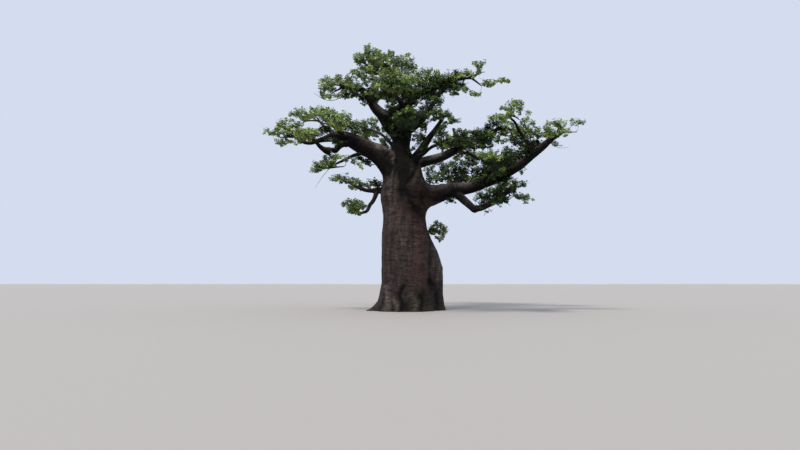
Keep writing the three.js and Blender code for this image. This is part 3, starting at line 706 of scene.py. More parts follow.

# marks on the front of the trunk, read from the photo: points of a line across and down in its pixels,
# half the mark's width, how far it stands out, and how pale it is, below zero where it is dark
# dark marks are painted shade and broad pale marks painted light; narrow pale ribs and knobs are partly
# paler bark and partly painted light
marks = [
    # painted shade on the leader, the inner bough and down the fork, and in two cracks
    dict(line=[(400, 124), (401, 140), (404, 158)], wide=8.0, out=-0.03, pale=-0.8),
    dict(line=[(416, 155), (425, 143), (437, 124)], wide=6.0, pale=-0.7),
    dict(line=[(405.5, 158), (406.5, 172)], wide=5.5, out=-0.05, pale=-0.9),
    dict(line=[(406, 172), (404.5, 188)], wide=5.0, out=-0.03, pale=-0.8),
    dict(line=[(393.5, 143), (397, 156), (399.5, 169), (400.5, 184)], wide=1.3, out=-0.05, pale=-0.4),
    dict(line=[(416.5, 161), (415.7, 169), (412, 177), (407, 184), (403.5, 191)],
        wide=1.3, out=-0.07, pale=-0.7),
    # pale ribs and knobs, partly paler bark and partly painted light, and a crack of painted shade
    dict(line=[(419, 163), (418.5, 171), (415, 180), (411, 188)], wide=1.8, out=0.035, pale=0.35),
    dict(line=[(389, 163), (387.5, 176), (386.5, 186)], wide=0.9, out=0.02, pale=0.15),
    dict(line=[(392, 160), (393.3, 170), (391.3, 182), (389.5, 198)], wide=1.8, out=0.05, pale=0.28),
    dict(line=[(397, 172), (395.2, 186), (394.8, 200), (392.5, 212)], wide=0.9, out=0.02, pale=0.12),
    dict(line=[(395.6, 161), (396, 168), (393.8, 178), (392, 188)], wide=0.8, out=-0.03, pale=-0.3),
    dict(line=[(393, 154), (394.8, 157.5)], wide=2.2, out=0.05, pale=0.3),
    dict(line=[(388, 193.5), (389, 195)], wide=1.7, out=0.06, pale=0.35),
    dict(line=[(392, 195), (392.5, 196)], wide=1.3, out=0.05, pale=0.2),
    dict(line=[(397, 196.5), (398, 198)], wide=1.4, out=0.05, pale=0.1),
    dict(line=[(383, 194), (383.5, 199)], wide=2.2, out=0.07, pale=0.1),
    # painted shade under the right bough and down the trunk below it
    dict(line=[(406, 192), (411, 200), (419, 214)], wide=7.0, out=-0.03, pale=-0.6),
    dict(line=[(410, 200), (411, 222), (409, 250)], wide=5.0, pale=-0.3),
    dict(line=[(423, 196), (445, 200), (470, 196)], wide=5.0, pale=-0.45),
    # painted light on the tops of the left bough and of the upper right bough
    dict(line=[(377, 147), (384, 147.5), (390, 149.5)], wide=2.4, pale=0.7),
    dict(line=[(418, 162), (428, 158.5), (440, 155)], wide=2.8, pale=0.6),
    # low on the trunk and at the foot: pale ribs, partly paler bark and partly painted light, painted shade
    # in cracks, and broad painted shade
    dict(line=[(429, 236), (430.5, 252), (431, 282)], wide=1.6, out=-0.06, pale=-0.4),
    dict(line=[(437, 246), (439.5, 262), (440, 280)], wide=2.6, pale=0.45),
    dict(line=[(387, 288), (386.5, 296), (389.5, 304), (388, 313)], wide=3.2, out=0.06, pale=0.45),
    dict(line=[(395, 299), (398, 306), (396, 313)], wide=2.2, out=0.05, pale=0.4),
    dict(line=[(403, 286), (401, 295), (403.5, 304), (401, 313)], wide=2.0, out=-0.07, pale=-0.5),
    dict(line=[(383, 295), (381.5, 304), (380, 313)], wide=1.4, out=-0.06, pale=-0.6),
    dict(line=[(393, 301), (392.5, 313)], wide=0.8, out=-0.05, pale=-0.5),
    dict(line=[(412, 296), (417, 303), (415, 311)], wide=2.6, out=0.05, pale=0.2),
    dict(line=[(408, 304), (407, 313)], wide=1.8, out=-0.05, pale=-0.4),
    dict(line=[(421, 296), (423, 303), (421, 313)], wide=1.8, out=-0.06, pale=-0.5),
    dict(line=[(396, 293), (412, 290), (426, 296)], wide=7, pale=-0.3),
    dict(line=[(433, 284), (435, 296), (435, 310)], wide=5, out=-0.04, pale=-0.6),
    # painted light on the tops of the forks, and a painted highlight down the leader
    dict(line=[(368, 92), (376, 103), (386, 112)], wide=4.0, pale=0.9),
    dict(line=[(390, 113), (399, 104), (412, 97)], wide=2.5, pale=0.75),
    dict(line=[(405.5, 130), (406, 150)], wide=1.0, out=0.02, pale=0.45),
]


# how near points lie to a line in the photo: a bell curve of the distance to its nearest stretch
def nearLine(across, down, line, wide):
    spots = np.stack([across, down], 1)
    nearest = np.full(len(spots), np.inf)
    for start, end in zip(line[:-1], line[1:]):
        stretch = np.subtract(end, start)
        away = spots - start
        part = np.clip(away @ stretch / (stretch @ stretch), 0, 1)
        nearest = np.minimum(nearest, np.linalg.norm(away - part[:, None] * stretch, axis=1))
    return np.exp(-(nearest / wide) ** 2)


# smooth noise so high, with so many waves to the metre, shifted to be unlike the others
def waves(points, high, many, shift):
    return high * cloud(points * many + shift)


# how marks are bent, how whole they are, their gaps and nicks, how squarely the skin must face the front,
# and the least and most that is left of them
markEdge = dict(
    bend=(1.8, 1.3, 40), whole=0.85, gaps=(0.5, 2.2, 31), nicks=(0.45, 6, 11), front=2.5, share=(0.25, 1.3),
)


# what the marks add at points of the skin that face the front: how far it stands out, and how pale it is,
# which is painted light and shade along with the paler bark of ribs and knobs. Smooth noise bends them and
# makes them come and go
def marksAt(points, normals):
    across, down = inPhoto(points)
    across = across + waves(points, *markEdge["bend"])
    broken = markEdge["whole"] + waves(points, *markEdge["gaps"]) + waves(points, *markEdge["nicks"])
    front = np.clip(-normals[:, 1] * markEdge["front"], 0, 1) * np.clip(broken, *markEdge["share"])
    out, pale = np.zeros(len(points)), np.zeros(len(points))
    for mark in marks:
        share = front * nearLine(across, down, mark["line"], mark["wide"])
        out += mark.get("out", 0) * share
        pale += mark["pale"] * share
    return out, pale


# the height of the bark's relief at points: smooth noise for lumps and knobs, noise drawn out along the
# grain for folds and ribs, noise drawn out across it for wrinkles. Lumps alone run on over the seams
# between forms
def barkRelief(points, grain, girth, apart):
    depth = np.clip(girth / relief["fullGirth"], relief["least"], 1)
    lumps = waves(points, *relief["lumps"]) + waves(points, *relief["knobs"])
    folds = relief["fold"] * (1 - 2 * np.abs(cloud(grain * relief["folds"])))
    clear = np.clip(apart / relief["seam"], 0, 1)
    folds = folds + waves(grain, *relief["ribs"]) + waves(grain, *relief["wrinkles"])
    return depth * (lumps + clear * folds)


# what the bark's material reads at each point: where it lies in the grain, its tones, which hold its
# painted light and shade and its rust, and its moss
def setBark(mesh, grain, tones, moss):
    for name, values in (("grain", grain), ("tones", tones)):
        layer = mesh.attributes.new(name, "FLOAT_VECTOR", "POINT")
        layer.data.foreach_set("vector", values.astype(np.float32).ravel())
    mesh.attributes.new("moss", "FLOAT", "POINT").data.foreach_set("value", moss.astype(np.float32))


def vertexNormals(mesh):
    normals = np.empty(len(mesh.vertices) * 3, np.float32)
    mesh.vertices.foreach_get("normal", normals)
    return normals.reshape(-1, 3).astype(float)


# where bark is stained with rust and moss and painted with light and shade: where limbs begin, outwards
# from the trunk's middle and upwards; how pale the painted light makes the upper sides of limbs and how
# dark the painted shade makes their lower sides, each with the slope, shift and unevenness of its edge;
# where the painted shade of the crown begins; and the painted shade, the moss and the rust of the foot, the
# last by heading and width. Crotches between limbs and hollows of the relief get painted shade
stainsAndPaintedLight = dict(
    patches=1.7, middle=0.2, outwards=(1.1, 0.5), upwards=(7.6, 0.8), limbsAbove=4,
    topLit=0.75, upper=(1.4, -0.35, 0.45), litBelow=12.8, litLeast=0.4,
    underside=0.7, lower=(1.3, 0.25, 0.3),
    shadeFrom=4.5, shadeTo=9.2, crownShade=0.76, footShade=0.5, footHeight=2.5, footUneven=(0.6, 0.9),
    rust=(0.5, (0.9, 0.9, 0.5), 14), rustSide=(0.55, -58, 32), rustBelow=7,
    mossHeight=1.1, mossSide=(0.55, 0.45, -55, 50), moss=(0.7, 1.1, 21), mossLess=0.15,
    crotch=0.4, crotchReach=0.3, slimmer=1, hollow=0.12,
)


# how far a tone takes hold where the bark faces its way, with an uneven edge
def takesHold(facing, edge, patchy):
    slope, shift, uneven = edge
    return np.clip(facing * slope + shift + uneven * patchy, 0, 1)


# the bark's tones at points, from 0 to 1: how pale, which is painted light and the pale marks; how dark,
# which is painted shade; how rusty; and how mossy
def barkTones(points, normals, hollow, pale):
    x, y, z = points.T
    patchy = cloud(points * stainsAndPaintedLight["patches"] + 3)
    (out, softOut), (up, softUp) = stainsAndPaintedLight["outwards"], stainsAndPaintedLight["upwards"]
    limb = np.clip((np.hypot(x + stainsAndPaintedLight["middle"], y) - out) / softOut + (z - up) / softUp, 0, 1)
    limb *= z > stainsAndPaintedLight["limbsAbove"]
    # painted light: tan on the upper sides of limbs, where they face the sky, less of it high in the crown
    lit = stainsAndPaintedLight["topLit"] * takesHold(normals[:, 2], stainsAndPaintedLight["upper"], patchy) * limb
    lit *= np.clip(stainsAndPaintedLight["litBelow"] - z, stainsAndPaintedLight["litLeast"], 1)
    # painted shade on the undersides of limbs
    under = stainsAndPaintedLight["underside"] * takesHold(-normals[:, 2], stainsAndPaintedLight["lower"], patchy) * limb
    # painted shade of the crown, deeper upwards, left off where light or pale marks are painted
    crown = np.clip((z - stainsAndPaintedLight["shadeFrom"]) / (stainsAndPaintedLight["shadeTo"] - stainsAndPaintedLight["shadeFrom"]), 0, 1)
    least, more = stainsAndPaintedLight["footUneven"]
    # painted shade at the foot, near the ground
    low = stainsAndPaintedLight["footShade"] * np.exp(-(z / stainsAndPaintedLight["footHeight"]) ** 2) * (least + more * patchy)
    shaded = stainsAndPaintedLight["crownShade"] * crown * (1 - lit) * (1 - np.clip(pale, 0, 1))
    # the dark tone is all painted shade: hollows and crotches, undersides, foot, crown and dark marks
    dark = hollow + under + low + shaded + np.clip(-pale, 0, 1)
    heading = np.degrees(np.arctan2(y, x))
    share, *side = stainsAndPaintedLight["rustSide"]
    rust = waves(points, *stainsAndPaintedLight["rust"]) + share * bump(heading, *side) * (z < stainsAndPaintedLight["rustBelow"])
    least, more, *side = stainsAndPaintedLight["mossSide"]
    foot = np.exp(-(z / stainsAndPaintedLight["mossHeight"]) ** 2) * (least + more * bump(heading, *side))
    moss = np.clip(foot + waves(points, *stainsAndPaintedLight["moss"]) - stainsAndPaintedLight["mossLess"], 0, 1)
    return np.clip(np.stack([lit + np.clip(pale, 0, 1), dark, rust], 1), 0, 1), moss


# the bark's colours, each noise with its scale, detail, roughness and warp, how strongly each tone shows,
# and how the wrinkles darken and pale it. The tan is painted light on upper sides and the pale of the
# marks; the shade colour is painted shade
bark = dict(
    plain=[(0.36, (0.018, 0.0125, 0.012, 1)), (0.5, (0.045, 0.033, 0.032, 1)),
        (0.65, (0.095, 0.072, 0.070, 1))],
    lines=[(0.37, (0.25, 0.24, 0.24, 1)), (0.47, (0.9, 0.9, 0.9, 1)), (0.6, (1.5, 1.46, 1.44, 1))],
    rust=((0.068, 0.034, 0.027, 1), 1.5), moss=((0.034, 0.032, 0.018, 1), 1.6),
    tanAndLight=((0.175, 0.150, 0.125, 1), 1.5), shade=(0.006, 0.005, 0.0045, 1),
    streaks=(2.8, 2.8, 0.5), streak=(1.6, 5.0, 0.62, 0.5), streakShare=0.55,
    fleck=(7.0, 6.0, 0.72), fleckShare=0.45, patch=(1.5, 3.0, 0.55), patchShare=1.5,
    wrinkles=(2.2, 2.2, 9.5), wrinkle=(1.0, 5.0, 0.65, 0.9), wrinkleDepth=1.3,
    specular=0.15, rough=(0.8, 1.0), bump=0.7, bumpDepth=0.035,
)


# two colours mixed by a factor, each a value or a socket
def mixColours(tree, factor, first, second, blend="MIX"):
    mix = addNode(tree, "ShaderNodeMix", {0: factor, 6: first, 7: second},
        data_type="RGBA", blend_type=blend)
    return mix.outputs[2]


def noiseOf(tree, vector, scale, detail, roughness=0.6, warp=0.0):
    made = addNode(tree, "ShaderNodeTexNoise",
        {"Vector": vector, "Scale": scale, "Detail": detail, "Roughness": roughness, "Distortion": warp})
    return made.outputs["Fac"]


def stretched(tree, vector, scale):
    return addNode(tree, "ShaderNodeMapping", {"Vector": vector, "Scale": scale}).outputs["Vector"]


def rampOf(tree, factor, stops):
    made = addNode(tree, "ShaderNodeValToRGB", {"Fac": factor})
    spare = made.color_ramp.elements
    while len(spare) < len(stops):
        spare.new(0.5)
    for element, (position, colour) in zip(spare, stops):
        element.position = position
        element.color = colour
    return made.outputs["Color"]


def plus(tree, first, second):
    return addNode(tree, "ShaderNodeMath", {0: first, 1: second}, operation="ADD").outputs[0]


def times(tree, first, second):
    return addNode(tree, "ShaderNodeMath", {0: first, 1: second}, operation="MULTIPLY").outputs[0]


def attributeOf(tree, name, output="Vector"):
    return addNode(tree, "ShaderNodeAttribute", attribute_name=name).outputs[output]


# roughness from one value to another with a pattern
def roughen(tree, shader, pattern, low, high):
    made = addNode(tree, "ShaderNodeMapRange", {"Value": pattern, "To Min": low, "To Max": high})
    tree.links.new(made.outputs["Result"], shader.inputs["Roughness"])


def dent(tree, shader, height, strength, depth):
    made = addNode(tree, "ShaderNodeBump", {"Height": height, "Strength": strength, "Distance": depth})
    tree.links.new(made.outputs["Normal"], shader.inputs["Normal"])


# bark: soft streaks of grey-brown along the grain, rust and moss in patches, painted light in tan where it
# faces the sky and on the pale marks, and painted shade in hollows and crotches, on undersides, under the
# crown, at the foot and on the dark marks, with broken wrinkles across the grain
def barkMaterial():
    paint, tree, shader = newPaint("bark")
    place = addNode(tree, "ShaderNodeTexCoord").outputs["Object"]
    grain = attributeOf(tree, "grain")
    tones = attributeOf(tree, "tones")
    # pale is painted light and the pale marks; dark is painted shade
    pale, dark, rust = addNode(tree, "ShaderNodeSeparateXYZ", {"Vector": tones}).outputs
    streak = noiseOf(tree, stretched(tree, grain, bark["streaks"]), *bark["streak"])
    fleck = noiseOf(tree, place, *bark["fleck"])
    patch = noiseOf(tree, place, *bark["patch"])
    wrinkle = noiseOf(tree, stretched(tree, grain, bark["wrinkles"]), *bark["wrinkle"])
    blend = plus(tree, times(tree, streak, bark["streakShare"]), times(tree, fleck, bark["fleckShare"]))
    colour = rampOf(tree, blend, bark["plain"])
    # rust and moss are stains; the tan is painted light and the pale marks
    for share, name in ((rust, "rust"), (attributeOf(tree, "moss", "Fac"), "moss"), (pale, "tanAndLight")):
        own, strength = bark[name]
        colour = mixColours(tree, times(tree, share, times(tree, fleck, strength)), colour, own)
    # painted shade: mixed towards the shade colour by the dark tone
    colour = mixColours(tree, dark, colour, bark["shade"])
    wrinkled = mixColours(tree, 1.0, colour, rampOf(tree, wrinkle, bark["lines"]), "MULTIPLY")
    colour = mixColours(tree, times(tree, patch, bark["patchShare"]), colour, wrinkled)
    tree.links.new(colour, shader.inputs["Base Color"])
    shader.inputs["Specular IOR Level"].default_value = bark["specular"]
    roughen(tree, shader, fleck, *bark["rough"])
    height = plus(tree, streak, plus(tree, times(tree, wrinkle, bark["wrinkleDepth"]), fleck))
    dent(tree, shader, height, bark["bump"], bark["bumpDepth"])
    return paint


barkPaint = barkMaterial()


# the trunk and the stout limbs in one skin: the net, pushed out along its normals by relief and marks,
# and kept flat at the ground
def makeSkin():
    mesh = skinNet()
    mesh.name = "trunk_and_boughs"
    points = readMesh(mesh)[0]
    normals = vertexNormals(mesh)
    _, nearest, along, apart = skinField(points)
    grain = grainOf(points, nearest, along)
    girth = np.full(len(points), mainStem[3]["wide"])
    for index, name in enumerate(stout, 1):
        mine = nearest == index
        girth[mine] = radiusAt(grownLimbs[name], along[mine])
    marked, pale = marksAt(points, normals)
    height = barkRelief(points, grain, girth, apart) + marked
    onGround = points[:, 2] < skin["groundEdge"]
    shift = normals * height[:, None]
    shift[onGround, 2] = 0
    shift[onGround & (np.abs(normals[:, 2]) > skin["flat"])] = 0
    points = points + shift
    points[:, 2] = np.maximum(points[:, 2], 0)
    mesh.vertices.foreach_set("co", points.astype(np.float32).ravel())
    mesh.update()
    # painted shade in the crotches between limbs and in the hollows of the relief
    crotch = np.clip(1 - apart / stainsAndPaintedLight["crotchReach"], 0, 1) * (girth < stainsAndPaintedLight["slimmer"]) * stainsAndPaintedLight["crotch"]
    hollow = crotch - height / relief["fold"] * stainsAndPaintedLight["hollow"]
    setBark(mesh, grain, *barkTones(points, vertexNormals(mesh), hollow, pale))
    addPiece(mesh, barkPaint, ["trunk"] + stout)


makeSkin()


# slim limbs, and the stems that carry the foliage on from the limbs' tips, as tubes with their own relief
# and painted shade in its hollows
slim = dict(sides=12, step=0.09, fewest=6, collar=0.55, collarReach=1.6, hollow=0.3)


# a tube round a line, with the bark's relief: its mesh, then the grain, tones and moss of its points, the
# tones with painted light and shade
def relievedTube(line, length, side, radius, seed):
    tangents = unit(np.gradient(line, axis=0))
    rings = ringsRound(line, tangents, side, radius, slim["sides"])
    middles = np.repeat(line[:, None], slim["sides"], 1)
    outward = unit(rings - middles)
    along = np.linspace(0, length, len(line))
    turn = np.linspace(0, 2 * np.pi, slim["sides"], endpoint=False)
    reach = np.broadcast_to(np.asarray(radius)[:, None], rings.shape[:2])
    grain = np.stack([reach * np.cos(turn), reach * np.sin(turn),
        np.broadcast_to(along[:, None], rings.shape[:2])], -1) + seed * limbLine["grainShift"]
    flatGrain = grain.reshape(-1, 3)
    height = barkRelief(rings.reshape(-1, 3), flatGrain, reach.ravel(), 1.0)
    rings = rings + outward * height.reshape(reach.shape)[..., None]
    points, faces = closedLoft(rings)
    grain = np.concatenate([flatGrain, grain[:1].mean(1), grain[-1:].mean(1)])
    # painted shade in the hollows of the relief
    hollow = np.concatenate([-height / relief["fold"] * slim["hollow"], [0, 0]])
    normals = np.concatenate([outward.reshape(-1, 3), -tangents[:1], tangents[-1:]])
    return points, faces, grain, *barkTones(points, normals, hollow, marksAt(points, normals)[1])


# a slim limb, with a collar that dies away outside the limb that carries it
def slimLimb(name):
    limb, grown = limbs[name], grownLimbs[name]
    count = max(slim["fewest"], round(grown["length"] / slim["step"]))
    line, length = spacedLine(grown["line"], count)
    share = np.linspace(0, 1, count)
    outside = np.maximum(share * length - radiusAt(grownLimbs[limb["on"]], limb["at"]), 0)
    collar = 1 + slim["collar"] * np.exp(-outside / (slim["collarReach"] * limb["root"]))
    return relievedTube(line, length, grown["side"], taperAt(limb, share) * collar, grown["seed"])


# the masses of foliage: the stem that carries each grows on from its limb's tip and bends to the middle
stems = dict(thin=0.36, bend=0.4, back=0.12, step=0.1, fine=60, trunkTwig=0.05, unlike=(0.13, 0.21, 0.97))


# a curve of three points: it leaves the first and reaches the last in line with the bend
def bezier(first, bend, last, t):
    t = np.asarray(t, float)[..., None]
    return first * (1 - t) ** 2 + bend * 2 * t * (1 - t) + last * t ** 2


# the stem of a mass: it leaves the limb's tip the way that the limb points, and ends in the mass's middle
def massStem(mass):
    middle = np.array(mass["middle"])
    if mass["on"] == "trunk":
        start = np.array([0, middle[1], middle[2]])
        pointing = unit(middle - start)
        root = stems["trunkTwig"]
    else:
        carrier = grownLimbs[mass["on"]]
        start, pointing, root = carrier["tip"], carrier["pointing"], carrier["radius"][-1]
    bend = start + pointing * np.linalg.norm(middle - start) * stems["bend"]
    return dict(start=start, bend=bend, end=middle, root=root, pointing=pointing)


# the stem as a tube that begins a little way inside the limb
def stemTube(stem, seed):
    fine = bezier(stem["start"], stem["bend"], stem["end"], np.linspace(0, 1, stems["fine"]))
    fine = np.concatenate([[stem["start"] - stem["pointing"] * stems["back"]], fine])
    length = np.linalg.norm(np.diff(fine, axis=0), axis=1).sum()
    line, length = spacedLine(fine, max(slim["fewest"], round(length / stems["step"])))
    radius = stem["root"] * np.linspace(1, stems["thin"], len(line))
    side = unit(np.cross(stem["end"] - stem["start"], stems["unlike"]))
    return relievedTube(line, length, side, radius, seed)


# where each mass shows its leaves from the front, read from the photo: across, down, half as wide and
# half as high, in the photo's pixels
patches = {
    "leaves_left_tip": [(283, 131, 13, 8), (264, 130.5, 6, 3.5), (285, 142, 11, 4),
        (305, 142, 8, 5), (299, 131, 10, 5), (296, 124, 9, 3), (289, 120, 9, 3.5), (297, 145, 9, 3)],
    "leaves_left_hook": [(306, 135, 13, 7), (330, 142, 5, 5)],
    "leaves_left_top": [(325, 114, 18, 5), (340, 121, 16, 6), (341, 127, 9, 4), (347, 114, 9, 4)],
    "leaves_left_back": [(297, 112, 12, 6), (322, 111, 16, 6), (340, 118, 9, 6), (304, 117, 8, 4)],
    "leaves_back_left": [(352, 114, 8, 6), (362, 126, 14, 9), (372, 121, 8, 5), (366, 137, 12, 5),
        (375, 129, 6, 6)],
    "leaves_crest_left": [(327, 84, 13, 8), (345, 79, 16, 6), (352, 86, 14, 5), (325, 97, 11, 4),
        (363, 103, 7, 7), (352, 94, 16, 5)],
    "leaves_top_left": [(361, 58, 7, 8), (369, 50, 7, 6), (374, 60, 10, 12), (357, 74, 12, 5),
        (367, 70, 8, 5), (363, 83, 7, 6), (375, 79, 7, 5)],
    "leaves_top": [(385, 66, 20, 13), (404, 62, 13, 9), (388, 52, 7, 3), (374, 50, 6, 5),
        (411, 57, 5, 3), (412, 72, 10, 8), (410, 56, 7, 4)],
    "leaves_top_front": [(385, 88, 18, 9), (405, 90, 14, 9), (395, 78, 22, 10), (368, 97, 8, 5),
        (384, 98, 13, 5)],
    "leaves_front": [(398, 120, 8, 8), (410, 113, 10, 6), (424, 114, 9, 4), (412, 121, 7, 5)],
    "leaves_left_low": [(350, 156, 18, 4.5), (331, 155, 12, 5), (319, 166, 9, 6),
        (312, 173, 7, 3.5), (329, 162, 9, 5), (360, 161, 8, 4), (362, 168, 5, 2.5)],
    "leaves_side_left": [(331, 177, 9, 3), (346, 179.5, 12, 3), (362, 185, 13, 4), (355, 187, 8, 3),
        (375, 186, 6, 4), (339, 174, 9, 3)],
    "leaves_low_left": [(352, 201, 12, 5), (363, 205, 7, 6), (344, 203, 5, 4), (355, 207, 8, 3.5),
        (355, 212, 8, 3), (345, 215, 4, 2)],
    "leaves_crest_mid": [(425, 70, 10, 5), (434, 76, 11, 6), (420, 80, 12, 8), (431, 93, 13, 6),
        (446, 87, 11, 6)],
    "leaves_crest_right": [(456, 78, 9, 5), (444, 83, 9, 5), (480, 62, 7, 6), (478, 70, 4, 3),
        (467, 73, 6, 4), (490, 82.5, 9, 3.5), (503, 80.5, 9, 2.5), (460, 89, 10, 5),
        (450, 93, 8, 4), (474, 94, 9, 2.5), (448, 91, 10, 6)],
    "leaves_inner": [(446, 114, 10, 5), (438, 117, 6, 5), (452, 121, 8, 4), (443, 126, 5, 3),
        (436, 112, 7, 4), (421, 105, 3, 5), (433, 99, 10, 3)],
    "leaves_inner_side": [(441, 133, 7, 6), (437, 142, 8, 4), (455, 141, 11, 6), (446, 149, 9, 3),
        (462, 133, 8, 6), (470, 145, 8, 5)],
    "leaves_upper_front": [(462, 131, 8, 5), (478, 132, 10, 5), (488, 138, 11, 6),
        (458, 141, 10, 5), (470, 143, 9, 5), (486, 145, 10, 3.5)],
    "leaves_upper_side": [(474, 157, 11, 6), (458, 153, 5, 3), (490, 157, 10, 7), (497, 148, 8, 4),
        (456, 161, 8, 4), (488, 146, 7, 3), (469, 163, 9, 4)],
    "leaves_upper": [(501, 133, 9, 5), (520, 132, 11, 9), (527, 122, 9, 6), (508, 128, 7, 7),
        (519, 140, 13, 6), (535, 133, 8, 6), (534, 145, 10, 5), (498, 142, 8, 6)],
    "leaves_right_upright": [(516, 104, 9, 6), (504, 107, 4, 2.5), (511, 113, 4, 6),
        (521, 110, 3, 3), (495, 117, 9, 3), (486, 119, 5, 2), (529, 112, 4, 2), (505, 119, 4, 4),
        (527, 119, 4, 3)],
    "leaves_right_tip": [(548, 126, 6, 5), (560, 122, 9, 4.5), (580, 121, 11, 3.5),
        (556, 133, 13, 4.5), (565, 130, 7, 3), (546, 134, 6, 5), (562, 147.5, 8, 3),
        (554, 144, 8, 3)],
    "leaves_right_mid": [(510, 152, 9, 8), (498, 163, 12, 8), (511, 161, 8, 7), (490, 160, 8, 7),
        (503, 171, 8, 4), (514, 153, 5, 5)],
    "leaves_right_low": [(493, 193, 11, 8), (481, 196, 9, 6), (474, 197, 6, 5), (506, 185, 11, 5),
        (522, 182, 12, 4), (499, 199, 9, 5), (512, 190, 6, 5), (520, 196, 8, 4), (529, 200, 9, 3),
        (540, 201, 7, 2), (511, 179, 8, 4), (494, 205, 3, 3)],
    "leaves_back_right": [(452, 168, 13, 8), (428, 171, 7, 9), (434, 180, 8, 5), (458, 178, 14, 7),
        (480, 170, 10, 8), (446, 176, 10, 6), (460, 163, 16, 5), (440, 164, 8, 4),
        (475, 180, 10, 4), (464, 166, 8, 7)],
    "leaves_trunk": [(437, 220, 3, 4), (434, 226, 5, 3), (442, 226, 4, 2.5), (445, 230, 3, 2.5),
        (438, 232, 5, 2.5), (445, 236, 3, 2.5), (438, 239, 4, 2.5), (442, 242, 3, 2),
        (432, 231, 3, 3)],
}
backPatches = [(386, 102, 12, 6), (420, 121, 5, 5)] + [patch for some in patches.values() for patch in some]
raggedEdge = dict(depth=0.34, wide=4.6, high=3.2, level=3.3)


# how far points lie from the middle of the nearest patch of their mass, where 1 is about its ragged edge,
# and how high they lie in it from -1 to 1. The masses behind the crown share all the patches
def patchDepths(name, points):
    across, down = inPhoto(points)
    spots = np.array(patches.get(name, backPatches), float)
    u, v, wide, high = spots.T
    away = np.hypot((across[:, None] - u) / wide, (down[:, None] - v) / high)
    nearest = spots[away.argmin(1)]
    level = np.full(len(points), raggedEdge["level"])
    ragged = cloud(np.stack([across / raggedEdge["wide"], down / raggedEdge["high"], level], 1))
    return away.min(1) - raggedEdge["depth"] * ragged, (nearest[:, 1] - down) / nearest[:, 3]


goldenAngle = 137.508
seeds = dict(foliage=29, twigs=101, sprays=151)


# places spread round a mass's space: a golden spiral over a sphere, drawn out to the reach
def spiral(mass, count, reach, seed):
    index = np.arange(count)
    rise = 1 - 2 * (index + 0.5) / count
    around = np.radians(index * goldenAngle + 360 * chance(seed, 3))
    out = np.sqrt(1 - rise * rise)
    facing = np.stack([out * np.cos(around), out * np.sin(around), rise], 1)
    return np.array(mass["middle"]) + facing * mass["reach"] * np.asarray(reach).reshape(-1, 1)


# how far points lie from the middle of each mass's space, where 1 is its edge
def depthsIn(points):
    middles = np.array([mass["middle"] for mass in masses.values()])
    reaches = np.array([mass["reach"] for mass in masses.values()])
    return np.linalg.norm((points[:, None] - middles) / reaches, axis=2)


# whether points lie in a mass's own space, nearer to its middle than to any other's
def ownsPoints(index, points):
    depths = depthsIn(points)
    own = depths[:, index].copy()
    depths[:, index] = np.inf
    return (own <= 1) & (depths.min(1) > own)


# whether points are inside the solids' box, less some room for the leaves
def insideBox(points):
    lowest, highest = np.array(solidBox[0]) + growth["room"], np.array(solidBox[1]) - growth["room"]
    return ((points > lowest) & (points < highest)).all(1)


# how the foliage of a mass grows: how far its twigs reach, how wide they lean and turn, and where sprays
# may leave stem, twig and spray; where the sprays' tips lie, how far apart, and how near the edge of the
# mass's space and patches; how a spray bends; and the radius of twig, spray and shoot
growth = dict(
    twigReach=0.5, lean=(0.6, 0.45, 0.3, 0.98), turn=0.12,
    onTwig=(0.45, 0.65, 0.85, 1), onStem=(0.4, 0.55, 0.7, 0.85, 1), onSpray=(0.45, 0.65, 0.85, 1),
    tries=70, sprayReach=(0.2, 0.97), apart=(0.42, 0.42, 0.30), fullReach=1.3, leastReach=0.6,
    sprayEdge=0.82, uneven=(0.02, 0.18, 0.02), unevenness=1.3, room=0.08,
    sharpTurn=0.5, along=0.38, across=0.15, wander=0.07, sag=0.05,
    twig=0.022, spray=0.0065, shoot=(0.0055, 0.003), thickest=0.07, twigTip=0.4, sprayTip=0.5, behind=0.05,
)


# numbers between a least and a most, at shares of the way
def spreadOver(ends, shares):
    return ends[0] + (ends[1] - ends[0]) * shares


# lists of arrays, one list for each part of the tree, joined array by array
def together(parts):
    return [np.concatenate(some) for some in zip(*parts)]


# places for the tips of sprays: many on a golden spiral at any reach, kept where the mass shows leaves
# and thinned until no two are close
def sprayTips(index, name, mass, rng):
    count = mass["sprays"] * growth["tries"]
    reach = spreadOver(growth["sprayReach"], np.sqrt(rng.random(count)))
    tips = spiral(mass, count, reach, index + seeds["sprays"])
    further = growth["uneven"] * (1 + cloud(tips * growth["unevenness"]))[:, None]
    room = tips + (tips - mass["middle"]) * further
    tips = tips[ownsPoints(index, room) & (patchDepths(name, tips)[0] < growth["sprayEdge"])]
    share = np.clip(np.mean(mass["reach"]) / growth["fullReach"], growth["leastReach"], 1)
    apart = np.multiply(growth["apart"], share)
    kept = np.empty((0, 3))
    for tip in rng.permutation(tips):
        if not len(kept) or np.linalg.norm((kept - tip) / apart, axis=1).min() > 1:
            kept = np.append(kept, [tip], 0)
    return kept


# where a curve of three points may carry others, and which way it points there
def restsOn(curve, shares):
    t = np.asarray(shares)
    places = bezier(*curve, t)
    return places, unit(places - bezier(*curve, t - growth["behind"]))


